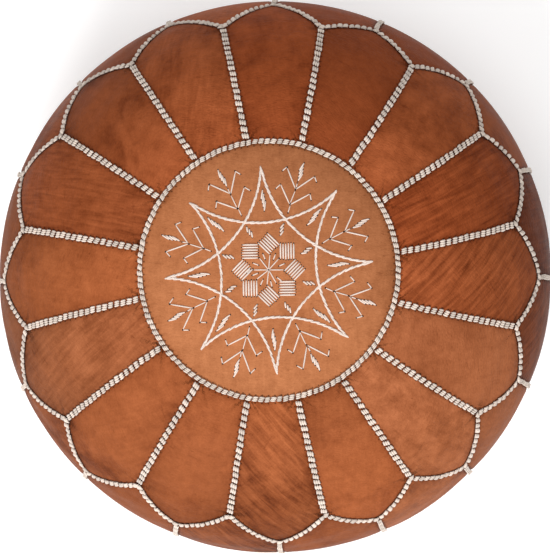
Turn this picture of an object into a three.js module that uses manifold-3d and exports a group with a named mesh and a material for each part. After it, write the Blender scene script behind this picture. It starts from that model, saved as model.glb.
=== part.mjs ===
// Moroccan leather pouf: a stuffed leather cover of petals and side panels around an embroidered
// roundel, closed by a zip in the base. Millimetres, +Z up, the floor is z = 0.
import Module from "manifold-3d";
import * as THREE from "three";
import { mergeVertices } from "three/addons/utils/BufferGeometryUtils.js";

const wasm = await Module();
wasm.setup();

// Overall size and layout
const DIAMETER = 550;
const HEIGHT = 310;
const PETALS = 16;
const ROUNDEL_RADIUS = 125;
const ROUNDEL_RISE = 5; // how far the roundel domes above its own seam
const NOTCH_SHARE = 0.891; // where two petals' arches meet, as a share of the pouf's radius
const ARCH_DEPTH = 40; // from the notches down to the top of an arch, along the leather
const ARCH_POWER = 1.2; // 1 is a straight zigzag and 2 a round scallop
const NOTCH_SLOPE = degrees(51); // the cover's slope at the notches
// How far each hand-sewn seam between petals strays from its even place, in degrees
const DRIFT_AT_ROUNDEL = [
  -3.6, -2.5, -4, -3.1, -1.3, 0, 0.2, 1.5, 1.1, 1.6, 1.6, 1.8, 1.3, 0.4, -2.8, -3.2,
];
const DRIFT_AT_NOTCH = [
  0.1, -0.1, -0.5, -0.2, 0, 0.2, 0.4, 1.1, 1.3, 1.7, 1.5, 1.5, 1.2, 0.3, -0.6, -1.2,
];
// How far each notch and each arch is sewn from its even place, along the leather
const UNEVEN_NOTCH = [-3, 3, -1, 1, 1, 3, 3, 4, 2, 3, 0, -7, -4, -5, -2, -1];
const UNEVEN_ARCH = [-5, 4, -12, 6, 8, 3, 5, 2, 4, 8, -4, -4, -8, 5, -6, -8];
const TUCK_SLOPE = degrees(125); // where the flank starts to tuck in towards the base
const BASE_EDGE_SLOPE = degrees(160);
const TUCK_RADIUS = 60;
const BASE_EDGE_HEIGHT = 4.3; // height of the side panels' lower edges
const BASE_MARGIN = 24; // the base reaches at least this far past the zip's ends

// Leather and lining
const LEATHER = 2;
const SEAM_GAP = 0.6;
const LINER = 1.2;
const LINER_CLEARANCE = 3; // from the inside of the leather to the liner
const FILLING_CLEARANCE = 1.2;
const MOUTH_RADIUS = 45; // the liner's filling mouth, above the zip

// Seam lacing and embroidery
const LACE_WIDTH = 7.5;
const LACE_HEIGHT = 2.2;
const LACE_LIFT = 0.9; // from the leather to the underside of the lacing
const THREAD_HEIGHT = 0.8;
const THREAD_LIFT = 0.4;
const STAR_TIP = 101;
const STAR_WAIST = 46; // nearest point of a star's side to the middle
const STAR_WIDTH = 2.4;
const STAR_TURN = degrees(4.3);
const TREE_WIDTH = 1.6;
const TREE_STEM = [59, 109]; // inner and outer ends of a tree's stem
const TREE_ARMS = [[66.5, 82, 15], [82, 100, 14]]; // root on the stem, reach outwards, reach sideways

// Zip
const ZIP_LENGTH = 350;
const OPENING_HALF = 7; // from the zip's middle to the edge of the base leather
const EDGE_LIFT = 3.7; // the base leather is drawn up this far along the zip
const EDGE_BLEND = 32; // how far from the zip the base leather comes down to the floor
const LAYER_GAP = 0.3; // between layers that touch
const TAPE = 0.6;
const TAPE_WIDTH = 12;
const TEETH_HALF = 3; // half the width of the closed chain
const TEETH_THICKNESS = 2.4;
const TEETH_REACH = 1.2; // how far a tooth passes the zip's middle
const TEETH_PITCH = 8;
const TOOTH_WIDTH = 3.3;
const SLIDER_LENGTH = 13;
const SLIDER_HALF = 5.4;
const SLIDER_PLATE = 1.1;
const SLIDER_GAP = 0.4; // from a plate to the teeth
const POST_LENGTH = 3.3;
const POST_HALF = 1.2;
const CROWN_LENGTH = 8;
const CROWN_HALF = 1;
const CROWN_LEG = 1.4;
const CROWN_BAR = 0.9;
const CROWN_HOLE = 1.5; // height of the opening that the pull tab swings in
const TAB_LENGTH = 26;
const TAB_HALF = 3.6;
const TAB_THICKNESS = 0.8;
const TAB_WINDOW_HALF = 1.5;
const STOP_LENGTH = 2.5;
const PATCH_START = 1.5; // from the slider's end stop to the end patch
const PATCH_HALF = 6.7;

// Fineness of the facets
const PANEL_COLUMNS = 4;
const ARCH_ROWS = 2;
const ROUNDEL_STEPS = 2 * PETALS;
const LINING_STEPS = 24;
const LONGEST_STEP = 50;
const WIDEST_TURN = degrees(12);
const LINING_TURN = degrees(18);

function degrees(angle) {
  return (angle * Math.PI) / 180;
}

// The cover's meridian, as arcs that meet smoothly. Each arc keeps its start, so that any distance
// along the leather from the middle of the top gives a radius, a height and a slope.
const arcs = [];
function addArc(radius, toSlope) {
  const from = arcs.length ? arcs[arcs.length - 1].end : { s: 0, r: 0, z: HEIGHT, slope: 0 };
  const end = {
    s: from.s + radius * (toSlope - from.slope),
    r: from.r + radius * (Math.sin(toSlope) - Math.sin(from.slope)),
    z: from.z - radius * (Math.cos(from.slope) - Math.cos(toSlope)),
    slope: toSlope,
  };
  arcs.push({ radius, from, end });
  return end;
}
const rimSlope = 2 * Math.atan(ROUNDEL_RISE / ROUNDEL_RADIUS);
const roundelEdge = addArc(ROUNDEL_RADIUS / Math.sin(rimSlope), rimSlope);
const notchRadius = (NOTCH_SHARE * DIAMETER) / 2;
const notch = addArc(
  (notchRadius - ROUNDEL_RADIUS) / (Math.sin(NOTCH_SLOPE) - Math.sin(rimSlope)),
  NOTCH_SLOPE,
);
const equator = addArc((DIAMETER / 2 - notchRadius) / (1 - Math.sin(NOTCH_SLOPE)), degrees(90));

// The flank reaches down to the tuck, which ends at the base's edge. It tucks in less where a longer
// zip needs a wider base.
function flankRadiusTo(slope) {
  const tuckDrop = TUCK_RADIUS * (Math.cos(slope) - Math.cos(BASE_EDGE_SLOPE));
  return (equator.z - BASE_EDGE_HEIGHT - tuckDrop) / -Math.cos(slope);
}
function baseRadiusFrom(slope) {
  const flankIn = flankRadiusTo(slope) * (1 - Math.sin(slope));
  return equator.r - flankIn - TUCK_RADIUS * (Math.sin(slope) - Math.sin(BASE_EDGE_SLOPE));
}
let tuckSlope = TUCK_SLOPE;
while (baseRadiusFrom(tuckSlope) < ZIP_LENGTH / 2 + BASE_MARGIN) tuckSlope -= degrees(0.25);
addArc(flankRadiusTo(tuckSlope), tuckSlope);
const baseEdge = addArc(TUCK_RADIUS, BASE_EDGE_SLOPE);

function meridian(s) {
  const { radius, from } = arcs.find((arc) => s <= arc.end.s) ?? arcs[arcs.length - 1];
  const slope = from.slope + (s - from.s) / radius;
  return {
    r: from.r + radius * (Math.sin(slope) - Math.sin(from.slope)),
    z: from.z - radius * (Math.cos(from.slope) - Math.cos(slope)),
    slope,
  };
}

// Distances along the leather between two places, close enough together for flat facets.
function stations(from, to, widestTurn = WIDEST_TURN) {
  const breaks = [from, ...arcs.map((arc) => arc.end.s).filter((s) => s > from && s < to), to];
  const list = [from];
  for (let i = 1; i < breaks.length; i += 1) {
    const span = breaks[i] - breaks[i - 1];
    const turn = meridian(breaks[i]).slope - meridian(breaks[i - 1]).slope;
    const steps = Math.ceil(Math.max(span / LONGEST_STEP, turn / widestTurn));
    for (let k = 1; k <= steps; k += 1) list.push(breaks[i - 1] + (span * k) / steps);
  }
  return list;
}

function normalAt(angle, s) {
  const { slope } = meridian(s);
  const out = Math.sin(slope);
  return new THREE.Vector3(out * Math.cos(angle), out * Math.sin(angle), Math.cos(slope));
}

// A point of the cover at an angle around it and a distance along its meridian, lifted off it.
function onCover(angle, s, lift) {
  const { r, z } = meridian(s);
  const point = new THREE.Vector3(r * Math.cos(angle), r * Math.sin(angle), z);
  return point.addScaledVector(normalAt(angle, s), lift);
}

function indexed(points, triangles) {
  const geometry = new THREE.BufferGeometry().setFromPoints(points);
  geometry.setIndex(triangles);
  geometry.computeVertexNormals();
  return geometry;
}

// A closed solid between an outer and an inner grid of points. place(column, row, side) gives a
// point, with side 0 outside and 1 inside. Seen from outside, columns go to the left of the rows.
function gridSolid(columns, rows, place) {
  const points = [];
  for (let side = 0; side < 2; side += 1) {
    for (let row = 0; row <= rows; row += 1) {
      for (let column = 0; column <= columns; column += 1) points.push(place(column, row, side));
    }
  }
  const at = (column, row, side) => (side * (rows + 1) + row) * (columns + 1) + column;
  const triangles = [];
  for (let row = 0; row < rows; row += 1) {
    for (let column = 0; column < columns; column += 1) {
      for (let side = 0; side < 2; side += 1) {
        const a = at(column, row, side);
        const b = at(column, row + 1, side);
        const c = at(column + 1, row + 1, side);
        const d = at(column + 1, row, side);
        if (side === 0) triangles.push(a, b, c, a, c, d);
        else triangles.push(a, c, b, a, d, c);
      }
    }
  }
  const rim = [];
  for (let row = 0; row < rows; row += 1) rim.push([0, row]);
  for (let column = 0; column < columns; column += 1) rim.push([column, rows]);
  for (let row = rows; row > 0; row -= 1) rim.push([columns, row]);
  for (let column = columns; column > 0; column -= 1) rim.push([column, 0]);
  rim.forEach(([column, row], i) => {
    const [nextColumn, nextRow] = rim[(i + 1) % rim.length];
    const [p, q] = [at(column, row, 0), at(nextColumn, nextRow, 0)];
    const [r, s] = [at(column, row, 1), at(nextColumn, nextRow, 1)];
    triangles.push(q, p, r, q, r, s);
  });
  return indexed(points, triangles);
}

// A section, given as [across, up] points, carried along frames of a place, a way across and a way up.
function sweep(frames, section, closed = false) {
  const n = section.length;
  const points = frames.flatMap(({ place, across, up }) =>
    section.map(([a, u]) => place.clone().addScaledVector(across, a).addScaledVector(up, u)),
  );
  const triangles = [];
  const spans = closed ? frames.length : frames.length - 1;
  for (let k = 0; k < spans; k += 1) {
    const here = k * n;
    const next = ((k + 1) % frames.length) * n;
    for (let i = 0; i < n; i += 1) {
      const j = (i + 1) % n;
      triangles.push(here + i, here + j, next + j, here + i, next + j, next + i);
    }
  }
  if (!closed) {
    const last = (frames.length - 1) * n;
    for (let i = 1; i < n - 1; i += 1) {
      triangles.push(0, i + 1, i, last, last + i, last + i + 1);
    }
  }
  return indexed(points, triangles);
}

// Frames along a path on the cover, given as [angle, distance along the meridian] pairs.
function coverFrames(path, closed = false) {
  const places = path.map(([angle, s]) => onCover(angle, s, 0));
  return path.map(([angle, s], i) => {
    const before = closed ? (i + path.length - 1) % path.length : Math.max(i - 1, 0);
    const after = closed ? (i + 1) % path.length : Math.min(i + 1, path.length - 1);
    const along = places[after].clone().sub(places[before]);
    const up = normalAt(angle, s);
    return { place: places[i], up, across: up.clone().cross(along).normalize() };
  });
}

// Low tent section of a row of thread, from its width, its lift off the leather and its height.
function tent(width, lift, height) {
  return [[-width / 2, lift], [width / 2, lift], [0, lift + height]];
}

function toManifold(source) {
  const bare = source.clone();
  bare.deleteAttribute("normal");
  bare.deleteAttribute("uv");
  const merged = mergeVertices(bare);
  return new wasm.Manifold(
    new wasm.Mesh({
      numProp: 3,
      vertProperties: new Float32Array(merged.attributes.position.array),
      triVerts: new Uint32Array(merged.index.array),
    }),
  );
}

function fromManifold(solid) {
  const { vertProperties, triVerts } = solid.getMesh();
  const geometry = new THREE.BufferGeometry();
  geometry.setAttribute("position", new THREE.BufferAttribute(vertProperties, 3));
  geometry.setIndex(new THREE.BufferAttribute(triVerts, 1));
  geometry.computeVertexNormals();
  return geometry;
}

function joined(geometries) {
  return fromManifold(geometries.map(toManifold).reduce((all, next) => all.add(next)));
}

function box(size, centre) {
  return new THREE.BoxGeometry(...size).translate(...centre);
}

// A closed outline of [x, z] points made as wide as from and to along Y.
function alongY(outline, from, to, holes = []) {
  const shape = new THREE.Shape(outline.map(([x, z]) => new THREE.Vector2(x, z)));
  shape.holes = holes.map((hole) => new THREE.Path(hole.map(([x, z]) => new THREE.Vector2(x, z))));
  const solid = new THREE.ExtrudeGeometry(shape, { depth: to - from, bevelEnabled: false });
  return solid.rotateX(Math.PI / 2).translate(0, to, 0);
}

// A closed outline of [x, y] points made as thick as from and to along Z.
function alongZ(outline, from, to, holes = []) {
  const shape = new THREE.Shape(outline.map(([x, y]) => new THREE.Vector2(x, y)));
  shape.holes = holes.map((hole) => new THREE.Path(hole.map(([x, y]) => new THREE.Vector2(x, y))));
  const solid = new THREE.ExtrudeGeometry(shape, { depth: to - from, bevelEnabled: false });
  return solid.translate(0, 0, from);
}

// A closed outline of [y, z] points made as long as from and to along X.
function alongX(outline, from, to) {
  const shape = new THREE.Shape(outline.map(([y, z]) => new THREE.Vector2(y, z)));
  const solid = new THREE.ExtrudeGeometry(shape, { depth: to - from, bevelEnabled: false });
  return solid.rotateY(Math.PI / 2).rotateX(Math.PI / 2).translate(from, 0, 0);
}

// A profile of [radius, z] points turned about the Z axis.
function turned(profile, steps) {
  const points = profile.map(([r, z]) => new THREE.Vector2(r, z));
  return new THREE.LatheGeometry(points, steps).rotateX(Math.PI / 2);
}

const leather = (color) => ({ color, roughness: 0.5, metalness: 0 });
const thread = { color: "#cfc3b8", roughness: 0.8, metalness: 0 };
const cotton = { color: "#e4dccb", roughness: 0.95, metalness: 0 };
const brass = { color: "#b98d4a", roughness: 0.35, metalness: 1 };

const pouf = new THREE.Group();
function add(name, geometry, look) {
  const mesh = new THREE.Mesh(geometry, new THREE.MeshStandardMaterial(look));
  mesh.name = name;
  pouf.add(mesh);
}

// Petals and side panels. A place counts seams: 2.5 is halfway between seams 2 and 3. The arch of a
// petal runs from the notch at one seam to the notch at the next.
const wedge = (2 * Math.PI) / PETALS;
const listed = (list, index) => list[(((index % PETALS) + PETALS) % PETALS) % list.length];
function archAt(place) {
  const seam = Math.floor(place);
  const [first, second] = [seam, seam + 1].map((index) => notch.s + listed(UNEVEN_NOTCH, index));
  const middle = notch.s + ARCH_DEPTH + listed(UNEVEN_ARCH, seam);
  const share = place - seam;
  const bow = 1 - Math.abs(2 * share - 1) ** ARCH_POWER;
  return THREE.MathUtils.lerp(first, second, share) + (middle - (first + second) / 2) * bow;
}

// The angle of a seam between petals, at a distance along the meridian. Its drift changes evenly
// between the roundel and the notch.
function seamAngle(index, s) {
  const share = THREE.MathUtils.clamp((s - roundelEdge.s) / (notch.s - roundelEdge.s), 0, 1);
  const drifts = [DRIFT_AT_ROUNDEL, DRIFT_AT_NOTCH].map((list) => degrees(listed(list, index)));
  return (index + 0.5) * wedge + THREE.MathUtils.lerp(...drifts, share);
}

function angleAt(place, s) {
  const seam = Math.floor(place);
  return THREE.MathUtils.lerp(seamAngle(seam, s), seamAngle(seam + 1, s), place - seam);
}

// A panel one petal wide, around a place. rowsAt gives its rows' distances at a place.
function panel(middle, rowsAt) {
  const rows = rowsAt(middle).length - 1;
  return gridSolid(PANEL_COLUMNS, rows, (column, row, side) => {
    const share = (2 * column) / PANEL_COLUMNS - 1;
    const place = middle + share / 2;
    const s = rowsAt(place)[row];
    const inset = Math.abs(share) === 1 ? (Math.sign(share) * SEAM_GAP) / 2 / meridian(s).r : 0;
    return onCover(angleAt(place, s) - inset, s, side ? -LEATHER : 0);
  });
}

const petalRows = stations(roundelEdge.s + SEAM_GAP / 2, notch.s - ARCH_DEPTH / 2);
const sideRows = stations(notch.s + ARCH_DEPTH * 1.5, baseEdge.s);
function petalRowsAt(place) {
  const [from, to] = [petalRows[petalRows.length - 1], archAt(place) - SEAM_GAP / 2];
  const band = Array.from({ length: ARCH_ROWS }, (_, i) => from + ((to - from) * (i + 1)) / ARCH_ROWS);
  return [...petalRows, ...band];
}
function sideRowsAt(place) {
  const [from, to] = [archAt(place) + SEAM_GAP / 2, sideRows[0]];
  const band = Array.from({ length: ARCH_ROWS }, (_, i) => from + ((to - from) * i) / ARCH_ROWS);
  return [...band, ...sideRows];
}

const PETAL_COLORS = [
  "#8b4525", "#954d2b", "#843c1e", "#8c4629", "#9a5332", "#9a5030", "#985031", "#b06239",
  "#af6540", "#b06139", "#b2643c", "#ad613c", "#b26741", "#b46d46", "#b56d45", "#974e2e",
];
for (let index = 0; index < PETALS; index += 1) {
  const label = String(index + 1).padStart(2, "0");
  const color = PETAL_COLORS[index % PETAL_COLORS.length];
  add(`petal_${label}`, panel(index + 0.5, petalRowsAt), leather(color));
  add(`side_panel_${label}`, panel(index, sideRowsAt), leather(color));
}

const roundelRim = roundelEdge.s - SEAM_GAP / 2;
const roundelSteps = [0, 1 / 3, 2 / 3, 1].map((share) => share * roundelRim);
const roundelAt = (lift) => (s) => {
  const point = onCover(0, s, lift);
  return [s === 0 ? 0 : point.x, point.z];
};
const roundelProfile = [-LEATHER, 0].map((lift) => roundelSteps.map(roundelAt(lift)));
add(
  "roundel",
  turned([...roundelProfile[0], ...roundelProfile[1].reverse()], ROUNDEL_STEPS),
  leather("#b97a4e"),
);

// Seam lacing: one run around the roundel and out between the petals, and one over the arches and
// down between the side panels.
const laceSection = tent(LACE_WIDTH, LACE_LIFT, LACE_HEIGHT);
const around = (count, place) => Array.from({ length: count }, (_, i) => place(i));
const ringPath = around(PETALS * PANEL_COLUMNS, (i) => [(i * wedge) / PANEL_COLUMNS, roundelEdge.s]);
const radialPaths = around(PETALS, (index) =>
  stations(roundelEdge.s, archAt(index) - LACE_WIDTH).map((s) => [seamAngle(index, s), s]),
);
add(
  "top_lacing",
  joined([
    sweep(coverFrames(ringPath, true), laceSection, true),
    ...radialPaths.map((path) => sweep(coverFrames(path), laceSection)),
  ]),
  thread,
);
const archSteps = 2 * PANEL_COLUMNS;
const archPath = around(PETALS * archSteps, (i) => {
  const s = archAt(i / archSteps);
  return [angleAt(i / archSteps, s), s];
});
const sidePaths = around(PETALS, (index) =>
  stations(archAt(index + 0.5), baseEdge.s).map((s) => [angleAt(index + 0.5, s), s]),
);
add(
  "side_lacing",
  joined([
    sweep(coverFrames(archPath, true), laceSection, true),
    ...sidePaths.map((path) => sweep(coverFrames(path), laceSection)),
  ]),
  thread,
);

// Embroidery: two interlaced four-pointed stars whose sides are arcs, and a tree at each crossing.
const domeRadius = arcs[0].radius;
const onDome = (x, y) => [Math.atan2(y, x), domeRadius * Math.asin(Math.hypot(x, y) / domeRadius)];
const sideCentre = (STAR_TIP ** 2 - STAR_WAIST ** 2) / 2 / (STAR_TIP * Math.SQRT1_2 - STAR_WAIST);
const sideRadius = sideCentre - STAR_WAIST;
const sideHalf = Math.asin((STAR_TIP * Math.SQRT1_2) / sideRadius);
const STAR_STEPS = 8;
function starSide(index) {
  const out = STAR_TURN + degrees(45) * (index + 1);
  const path = around(STAR_STEPS + 1, (i) => {
    const angle = out + sideHalf * ((2 * i) / STAR_STEPS - 1);
    return onDome(
      sideCentre * Math.cos(out) - sideRadius * Math.cos(angle),
      sideCentre * Math.sin(out) - sideRadius * Math.sin(angle),
    );
  });
  return sweep(coverFrames(path), tent(STAR_WIDTH, THREAD_LIFT, THREAD_HEIGHT));
}
add("embroidered_star", joined(around(8, starSide)), thread);

function tree(direction) {
  const place = (out, sideways) => {
    const [cos, sin] = [Math.cos(direction), Math.sin(direction)];
    return onDome(out * cos - sideways * sin, out * sin + sideways * cos);
  };
  const strand = (from, to) =>
    sweep(coverFrames([place(...from), place(...to)]), tent(TREE_WIDTH, THREAD_LIFT, THREAD_HEIGHT));
  const [inner, outer] = TREE_STEM;
  const arms = TREE_ARMS.flatMap(([root, out, sideways]) =>
    [-1, 1].map((hand) => strand([root, 0], [out, hand * sideways])),
  );
  return joined([strand([inner, 0], [outer, 0]), ...arms]);
}
for (let index = 0; index < 8; index += 1) {
  const direction = STAR_TURN + degrees(45) * (index + 0.5);
  add(`embroidered_tree_${index + 1}`, tree(direction), thread);
}

// Base: two half discs, drawn up along the zip and turned up a little where they meet the sides.
const baseRadius = baseEdge.r - 2 * SEAM_GAP;
const rimLift = BASE_EDGE_HEIGHT - LEATHER + LAYER_GAP / 2;
const reach = baseRadius - OPENING_HALF;
const BLEND_SHARES = [0, 0.3, 0.65, 1];
const baseRows = [...BLEND_SHARES.map((share) => (share * EDGE_BLEND) / reach), 0.55, 0.96, 1];
const BASE_COLUMNS = 16;
const cornerAngle = Math.asin((4 * OPENING_HALF) / baseRadius);
const edgeEnd = Math.sqrt(baseRadius ** 2 - OPENING_HALF ** 2);
function basePanel(hand) {
  return gridSolid(BASE_COLUMNS, baseRows.length - 1, (column, row, side) => {
    const share = hand * ((2 * column) / BASE_COLUMNS - 1);
    const angle = Math.PI / 2 - share * (Math.PI / 2 - cornerAngle);
    const out = baseRows[row];
    const x = (1 - out) * share * edgeEnd + out * baseRadius * Math.cos(angle);
    const y = (1 - out) * OPENING_HALF + out * baseRadius * Math.sin(angle);
    const drawnUp = EDGE_LIFT * (1 - THREE.MathUtils.smoothstep(row / (BLEND_SHARES.length - 1), 0, 1));
    const atRim = Math.abs(share) === 1 || row === baseRows.length - 1;
    return new THREE.Vector3(x, hand * y, (atRim ? rimLift : drawnUp) + (side ? LEATHER : 0));
  });
}
add("base_panel_left", basePanel(1), leather("#8a4d2c"));
add("base_panel_right", basePanel(-1), leather("#8a4d2c"));

// Zip, in layers upwards: the leather's edge, the tape with the teeth around its level, the slider.
const tapeBottom = EDGE_LIFT + LEATHER + LAYER_GAP;
const tapeMiddle = tapeBottom + TAPE / 2;
const teethBottom = tapeMiddle - TEETH_THICKNESS / 2;
const teethTop = tapeMiddle + TEETH_THICKNESS / 2;
const tapeInner = TEETH_HALF + LAYER_GAP;
const zipEnd = ZIP_LENGTH / 2;
const stopPlace = zipEnd - PATCH_START - STOP_LENGTH;
const sliderPlace = stopPlace - LAYER_GAP * 2 - SLIDER_LENGTH / 2;
const postEnd = SLIDER_LENGTH / 2;
const chainStart = -stopPlace + LAYER_GAP * 2;
const chainEnd = sliderPlace + postEnd - POST_LENGTH - LAYER_GAP * 2;

// One row of teeth: a spine along the tape's edge with teeth that reach past the zip's middle.
function teethRow(hand) {
  const spine = TEETH_REACH + LAYER_GAP;
  const count = Math.floor((chainEnd - chainStart) / TEETH_PITCH);
  const shift = hand > 0 ? 0 : TEETH_PITCH / 2;
  const outline = [[chainStart, TEETH_HALF], [chainStart, spine]];
  for (let i = 0; i < count; i += 1) {
    const from = chainStart + shift + i * TEETH_PITCH;
    const to = from + TOOTH_WIDTH;
    if (from > chainStart) outline.push([from, spine]);
    outline.push([from, -TEETH_REACH], [to, -TEETH_REACH], [to, spine]);
  }
  outline.push([chainEnd, spine], [chainEnd, TEETH_HALF]);
  if (hand > 0) outline.splice(1, 1);
  return alongZ(outline.map(([x, y]) => [x, hand * y]), teethBottom, teethTop);
}
function tape(hand) {
  const outline = [
    [-zipEnd, tapeInner],
    [zipEnd, tapeInner],
    [zipEnd, tapeInner + TAPE_WIDTH],
    [-zipEnd, tapeInner + TAPE_WIDTH],
  ];
  return alongZ(outline.map(([x, y]) => [x, hand * y]), tapeBottom, tapeBottom + TAPE);
}

// A stop is clamped over a tape's edge with its slot around the tape, towards one hand or both.
const stopHalf = tapeInner + 1.6;
const [slotBottom, slotTop] = [tapeBottom - LAYER_GAP, tapeBottom + TAPE + LAYER_GAP];
function stopOutline(inner) {
  const depth = tapeInner - LAYER_GAP;
  return [
    [inner, teethBottom], [stopHalf, teethBottom], [stopHalf, slotBottom], [depth, slotBottom],
    [depth, slotTop], [stopHalf, slotTop], [stopHalf, teethTop], [inner, teethTop],
  ];
}
const topStop = (hand) =>
  alongX(stopOutline(tapeInner / 2).map(([y, z]) => [hand * y, z]), stopPlace, stopPlace + STOP_LENGTH);
function bottomStop() {
  const half = stopOutline(0).slice(1, -1);
  const mirrored = half.map(([y, z]) => [-y, z]).reverse();
  return alongX([...half, ...mirrored], -stopPlace - STOP_LENGTH, -stopPlace);
}
for (const [hand, name] of [[1, "left"], [-1, "right"]]) {
  add(`zip_tape_${name}`, tape(hand), { color: "#5a3d2a", roughness: 0.95, metalness: 0 });
  add(`zip_teeth_${name}`, teethRow(hand), brass);
  add(`zip_top_stop_${name}`, topStop(hand), brass);
}
add("zip_bottom_stop", bottomStop(), brass);

// Slider: a plate on each side of the teeth, joined by a post, with a crown that holds the pull tab.
const plateTop = teethBottom - SLIDER_GAP;
const plateBottom = plateTop - SLIDER_PLATE;
const innerPlate = teethTop + SLIDER_GAP;
const flange = (tapeBottom - plateTop) / 2;
const hingeHeight = plateBottom - CROWN_HOLE / 2;
function sliderBody() {
  const plates = [plateBottom, innerPlate].map((from) =>
    box([SLIDER_LENGTH, 2 * SLIDER_HALF, SLIDER_PLATE], [0, 0, from + SLIDER_PLATE / 2]),
  );
  const post = box(
    [POST_LENGTH, 2 * POST_HALF, innerPlate - plateTop + SLIDER_PLATE],
    [postEnd - POST_LENGTH / 2, 0, (innerPlate + plateTop) / 2],
  );
  const flanges = [1, -1].flatMap((hand) =>
    [plateTop + flange / 2, innerPlate - flange / 2].map((height) =>
      box([SLIDER_LENGTH, 0.8, flange * 1.2], [0, hand * (SLIDER_HALF - 0.4), height]),
    ),
  );
  const [half, foot] = [CROWN_LENGTH / 2, plateBottom - CROWN_HOLE - CROWN_BAR];
  const crown = alongY(
    [[-half, plateBottom + 0.2], [-half, foot], [half, foot], [half, plateBottom + 0.2]],
    -CROWN_HALF,
    CROWN_HALF,
    [[
      [CROWN_LEG - half, plateBottom],
      [half - CROWN_LEG, plateBottom],
      [half - CROWN_LEG, foot + CROWN_BAR],
      [CROWN_LEG - half, foot + CROWN_BAR],
    ]],
  );
  return joined([...plates, post, ...flanges, crown]);
}
function pullTab() {
  const pin = TAB_THICKNESS / 2;
  const [windowEnd, tip] = [-CROWN_LENGTH / 2 - 1.2, -TAB_LENGTH];
  const outline = [
    [pin, -TAB_HALF * 0.8], [pin, TAB_HALF * 0.8], [tip + 4, TAB_HALF], [tip + 1.2, TAB_HALF * 0.8],
    [tip, TAB_HALF * 0.4], [tip, -TAB_HALF * 0.4], [tip + 1.2, -TAB_HALF * 0.8], [tip + 4, -TAB_HALF],
  ];
  const window = [
    [-pin, -TAB_WINDOW_HALF],
    [-pin, TAB_WINDOW_HALF],
    [windowEnd, TAB_WINDOW_HALF],
    [windowEnd, -TAB_WINDOW_HALF],
  ];
  return alongZ(outline.reverse(), -TAB_THICKNESS / 2, TAB_THICKNESS / 2, [window]);
}
add("zip_slider", sliderBody().translate(sliderPlace, 0, 0), brass);
add("zip_pull_tab", pullTab().translate(sliderPlace, 0, hingeHeight), brass);

// Leather patches over the zip's ends.
function endPatch(hand) {
  const [from, to] = [zipEnd + 1, edgeEnd - 2];
  const middle = (from + to) / 2;
  const outline = [
    [from, EDGE_LIFT], [middle, EDGE_LIFT], [to, rimLift + LAYER_GAP],
    [to, rimLift + LAYER_GAP + LEATHER], [middle, EDGE_LIFT + LEATHER], [from, EDGE_LIFT + LEATHER],
  ];
  return alongY(outline.map(([x, z]) => [hand * x, z]), -PATCH_HALF, PATCH_HALF);
}
add("zip_end_patch_front", endPatch(1), leather("#8a4d2c"));
add("zip_end_patch_back", endPatch(-1), leather("#8a4d2c"));

// Liner bag, open at a mouth above the zip, and the filling inside it.
const linerOut = -LEATHER - LINER_CLEARANCE;
const linerFloor = innerPlate + SLIDER_PLATE + 2 * LAYER_GAP;

// How far along the cover a lining comes down to its floor.
function floorPlace(lift, floor) {
  let [above, below] = [equator.s, baseEdge.s];
  while (below - above > 0.01) {
    const middle = (above + below) / 2;
    if (onCover(0, middle, lift).z > floor) above = middle;
    else below = middle;
  }
  return above;
}
function lining(lift, floor, mouth) {
  const places = stations(0, floorPlace(lift, floor), LINING_TURN);
  const points = places.map((s) => onCover(0, s, lift)).map((point) => [point.x, point.z]);
  points[0][0] = 0;
  points[points.length - 1][1] = floor;
  return [...points, [mouth, floor]].reverse();
}
const linerOutside = lining(linerOut, linerFloor, MOUTH_RADIUS);
const linerInside = lining(linerOut - LINER, linerFloor + LINER, MOUTH_RADIUS).reverse();
const linerProfile = [...linerOutside, ...linerInside, linerOutside[0]];
add("liner_bag", turned(linerProfile, LINING_STEPS), cotton);
const fillingLift = linerOut - LINER - FILLING_CLEARANCE;
const fillingFloor = linerFloor + LINER + FILLING_CLEARANCE;
add("filling", turned(lining(fillingLift, fillingFloor, 0), LINING_STEPS), {
  color: "#d8d2c6",
  roughness: 1,
  metalness: 0,
});

export default pouf;
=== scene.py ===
import math

import bpy
import numpy as np
from mathutils import Matrix, Vector


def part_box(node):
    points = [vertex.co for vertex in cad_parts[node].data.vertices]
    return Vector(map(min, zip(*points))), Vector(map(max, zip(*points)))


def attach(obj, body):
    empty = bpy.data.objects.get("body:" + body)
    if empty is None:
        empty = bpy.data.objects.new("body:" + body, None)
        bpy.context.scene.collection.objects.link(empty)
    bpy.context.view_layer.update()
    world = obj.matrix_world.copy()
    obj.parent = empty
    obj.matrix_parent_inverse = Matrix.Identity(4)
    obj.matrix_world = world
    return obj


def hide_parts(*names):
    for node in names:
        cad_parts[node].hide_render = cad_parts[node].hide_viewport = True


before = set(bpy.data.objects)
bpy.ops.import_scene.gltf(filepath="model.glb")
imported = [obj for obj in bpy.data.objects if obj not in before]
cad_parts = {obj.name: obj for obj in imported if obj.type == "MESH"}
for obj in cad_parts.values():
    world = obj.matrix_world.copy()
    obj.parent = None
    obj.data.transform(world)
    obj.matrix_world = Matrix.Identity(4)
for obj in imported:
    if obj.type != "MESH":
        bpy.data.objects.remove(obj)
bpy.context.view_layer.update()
scene = bpy.context.scene
mm = 0.001


# Numbers read from the CAD frame

def nodePoints(name):
    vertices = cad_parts[name].data.vertices
    points = np.empty(len(vertices) * 3)
    vertices.foreach_get("co", points)
    return points.reshape(-1, 3)


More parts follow.
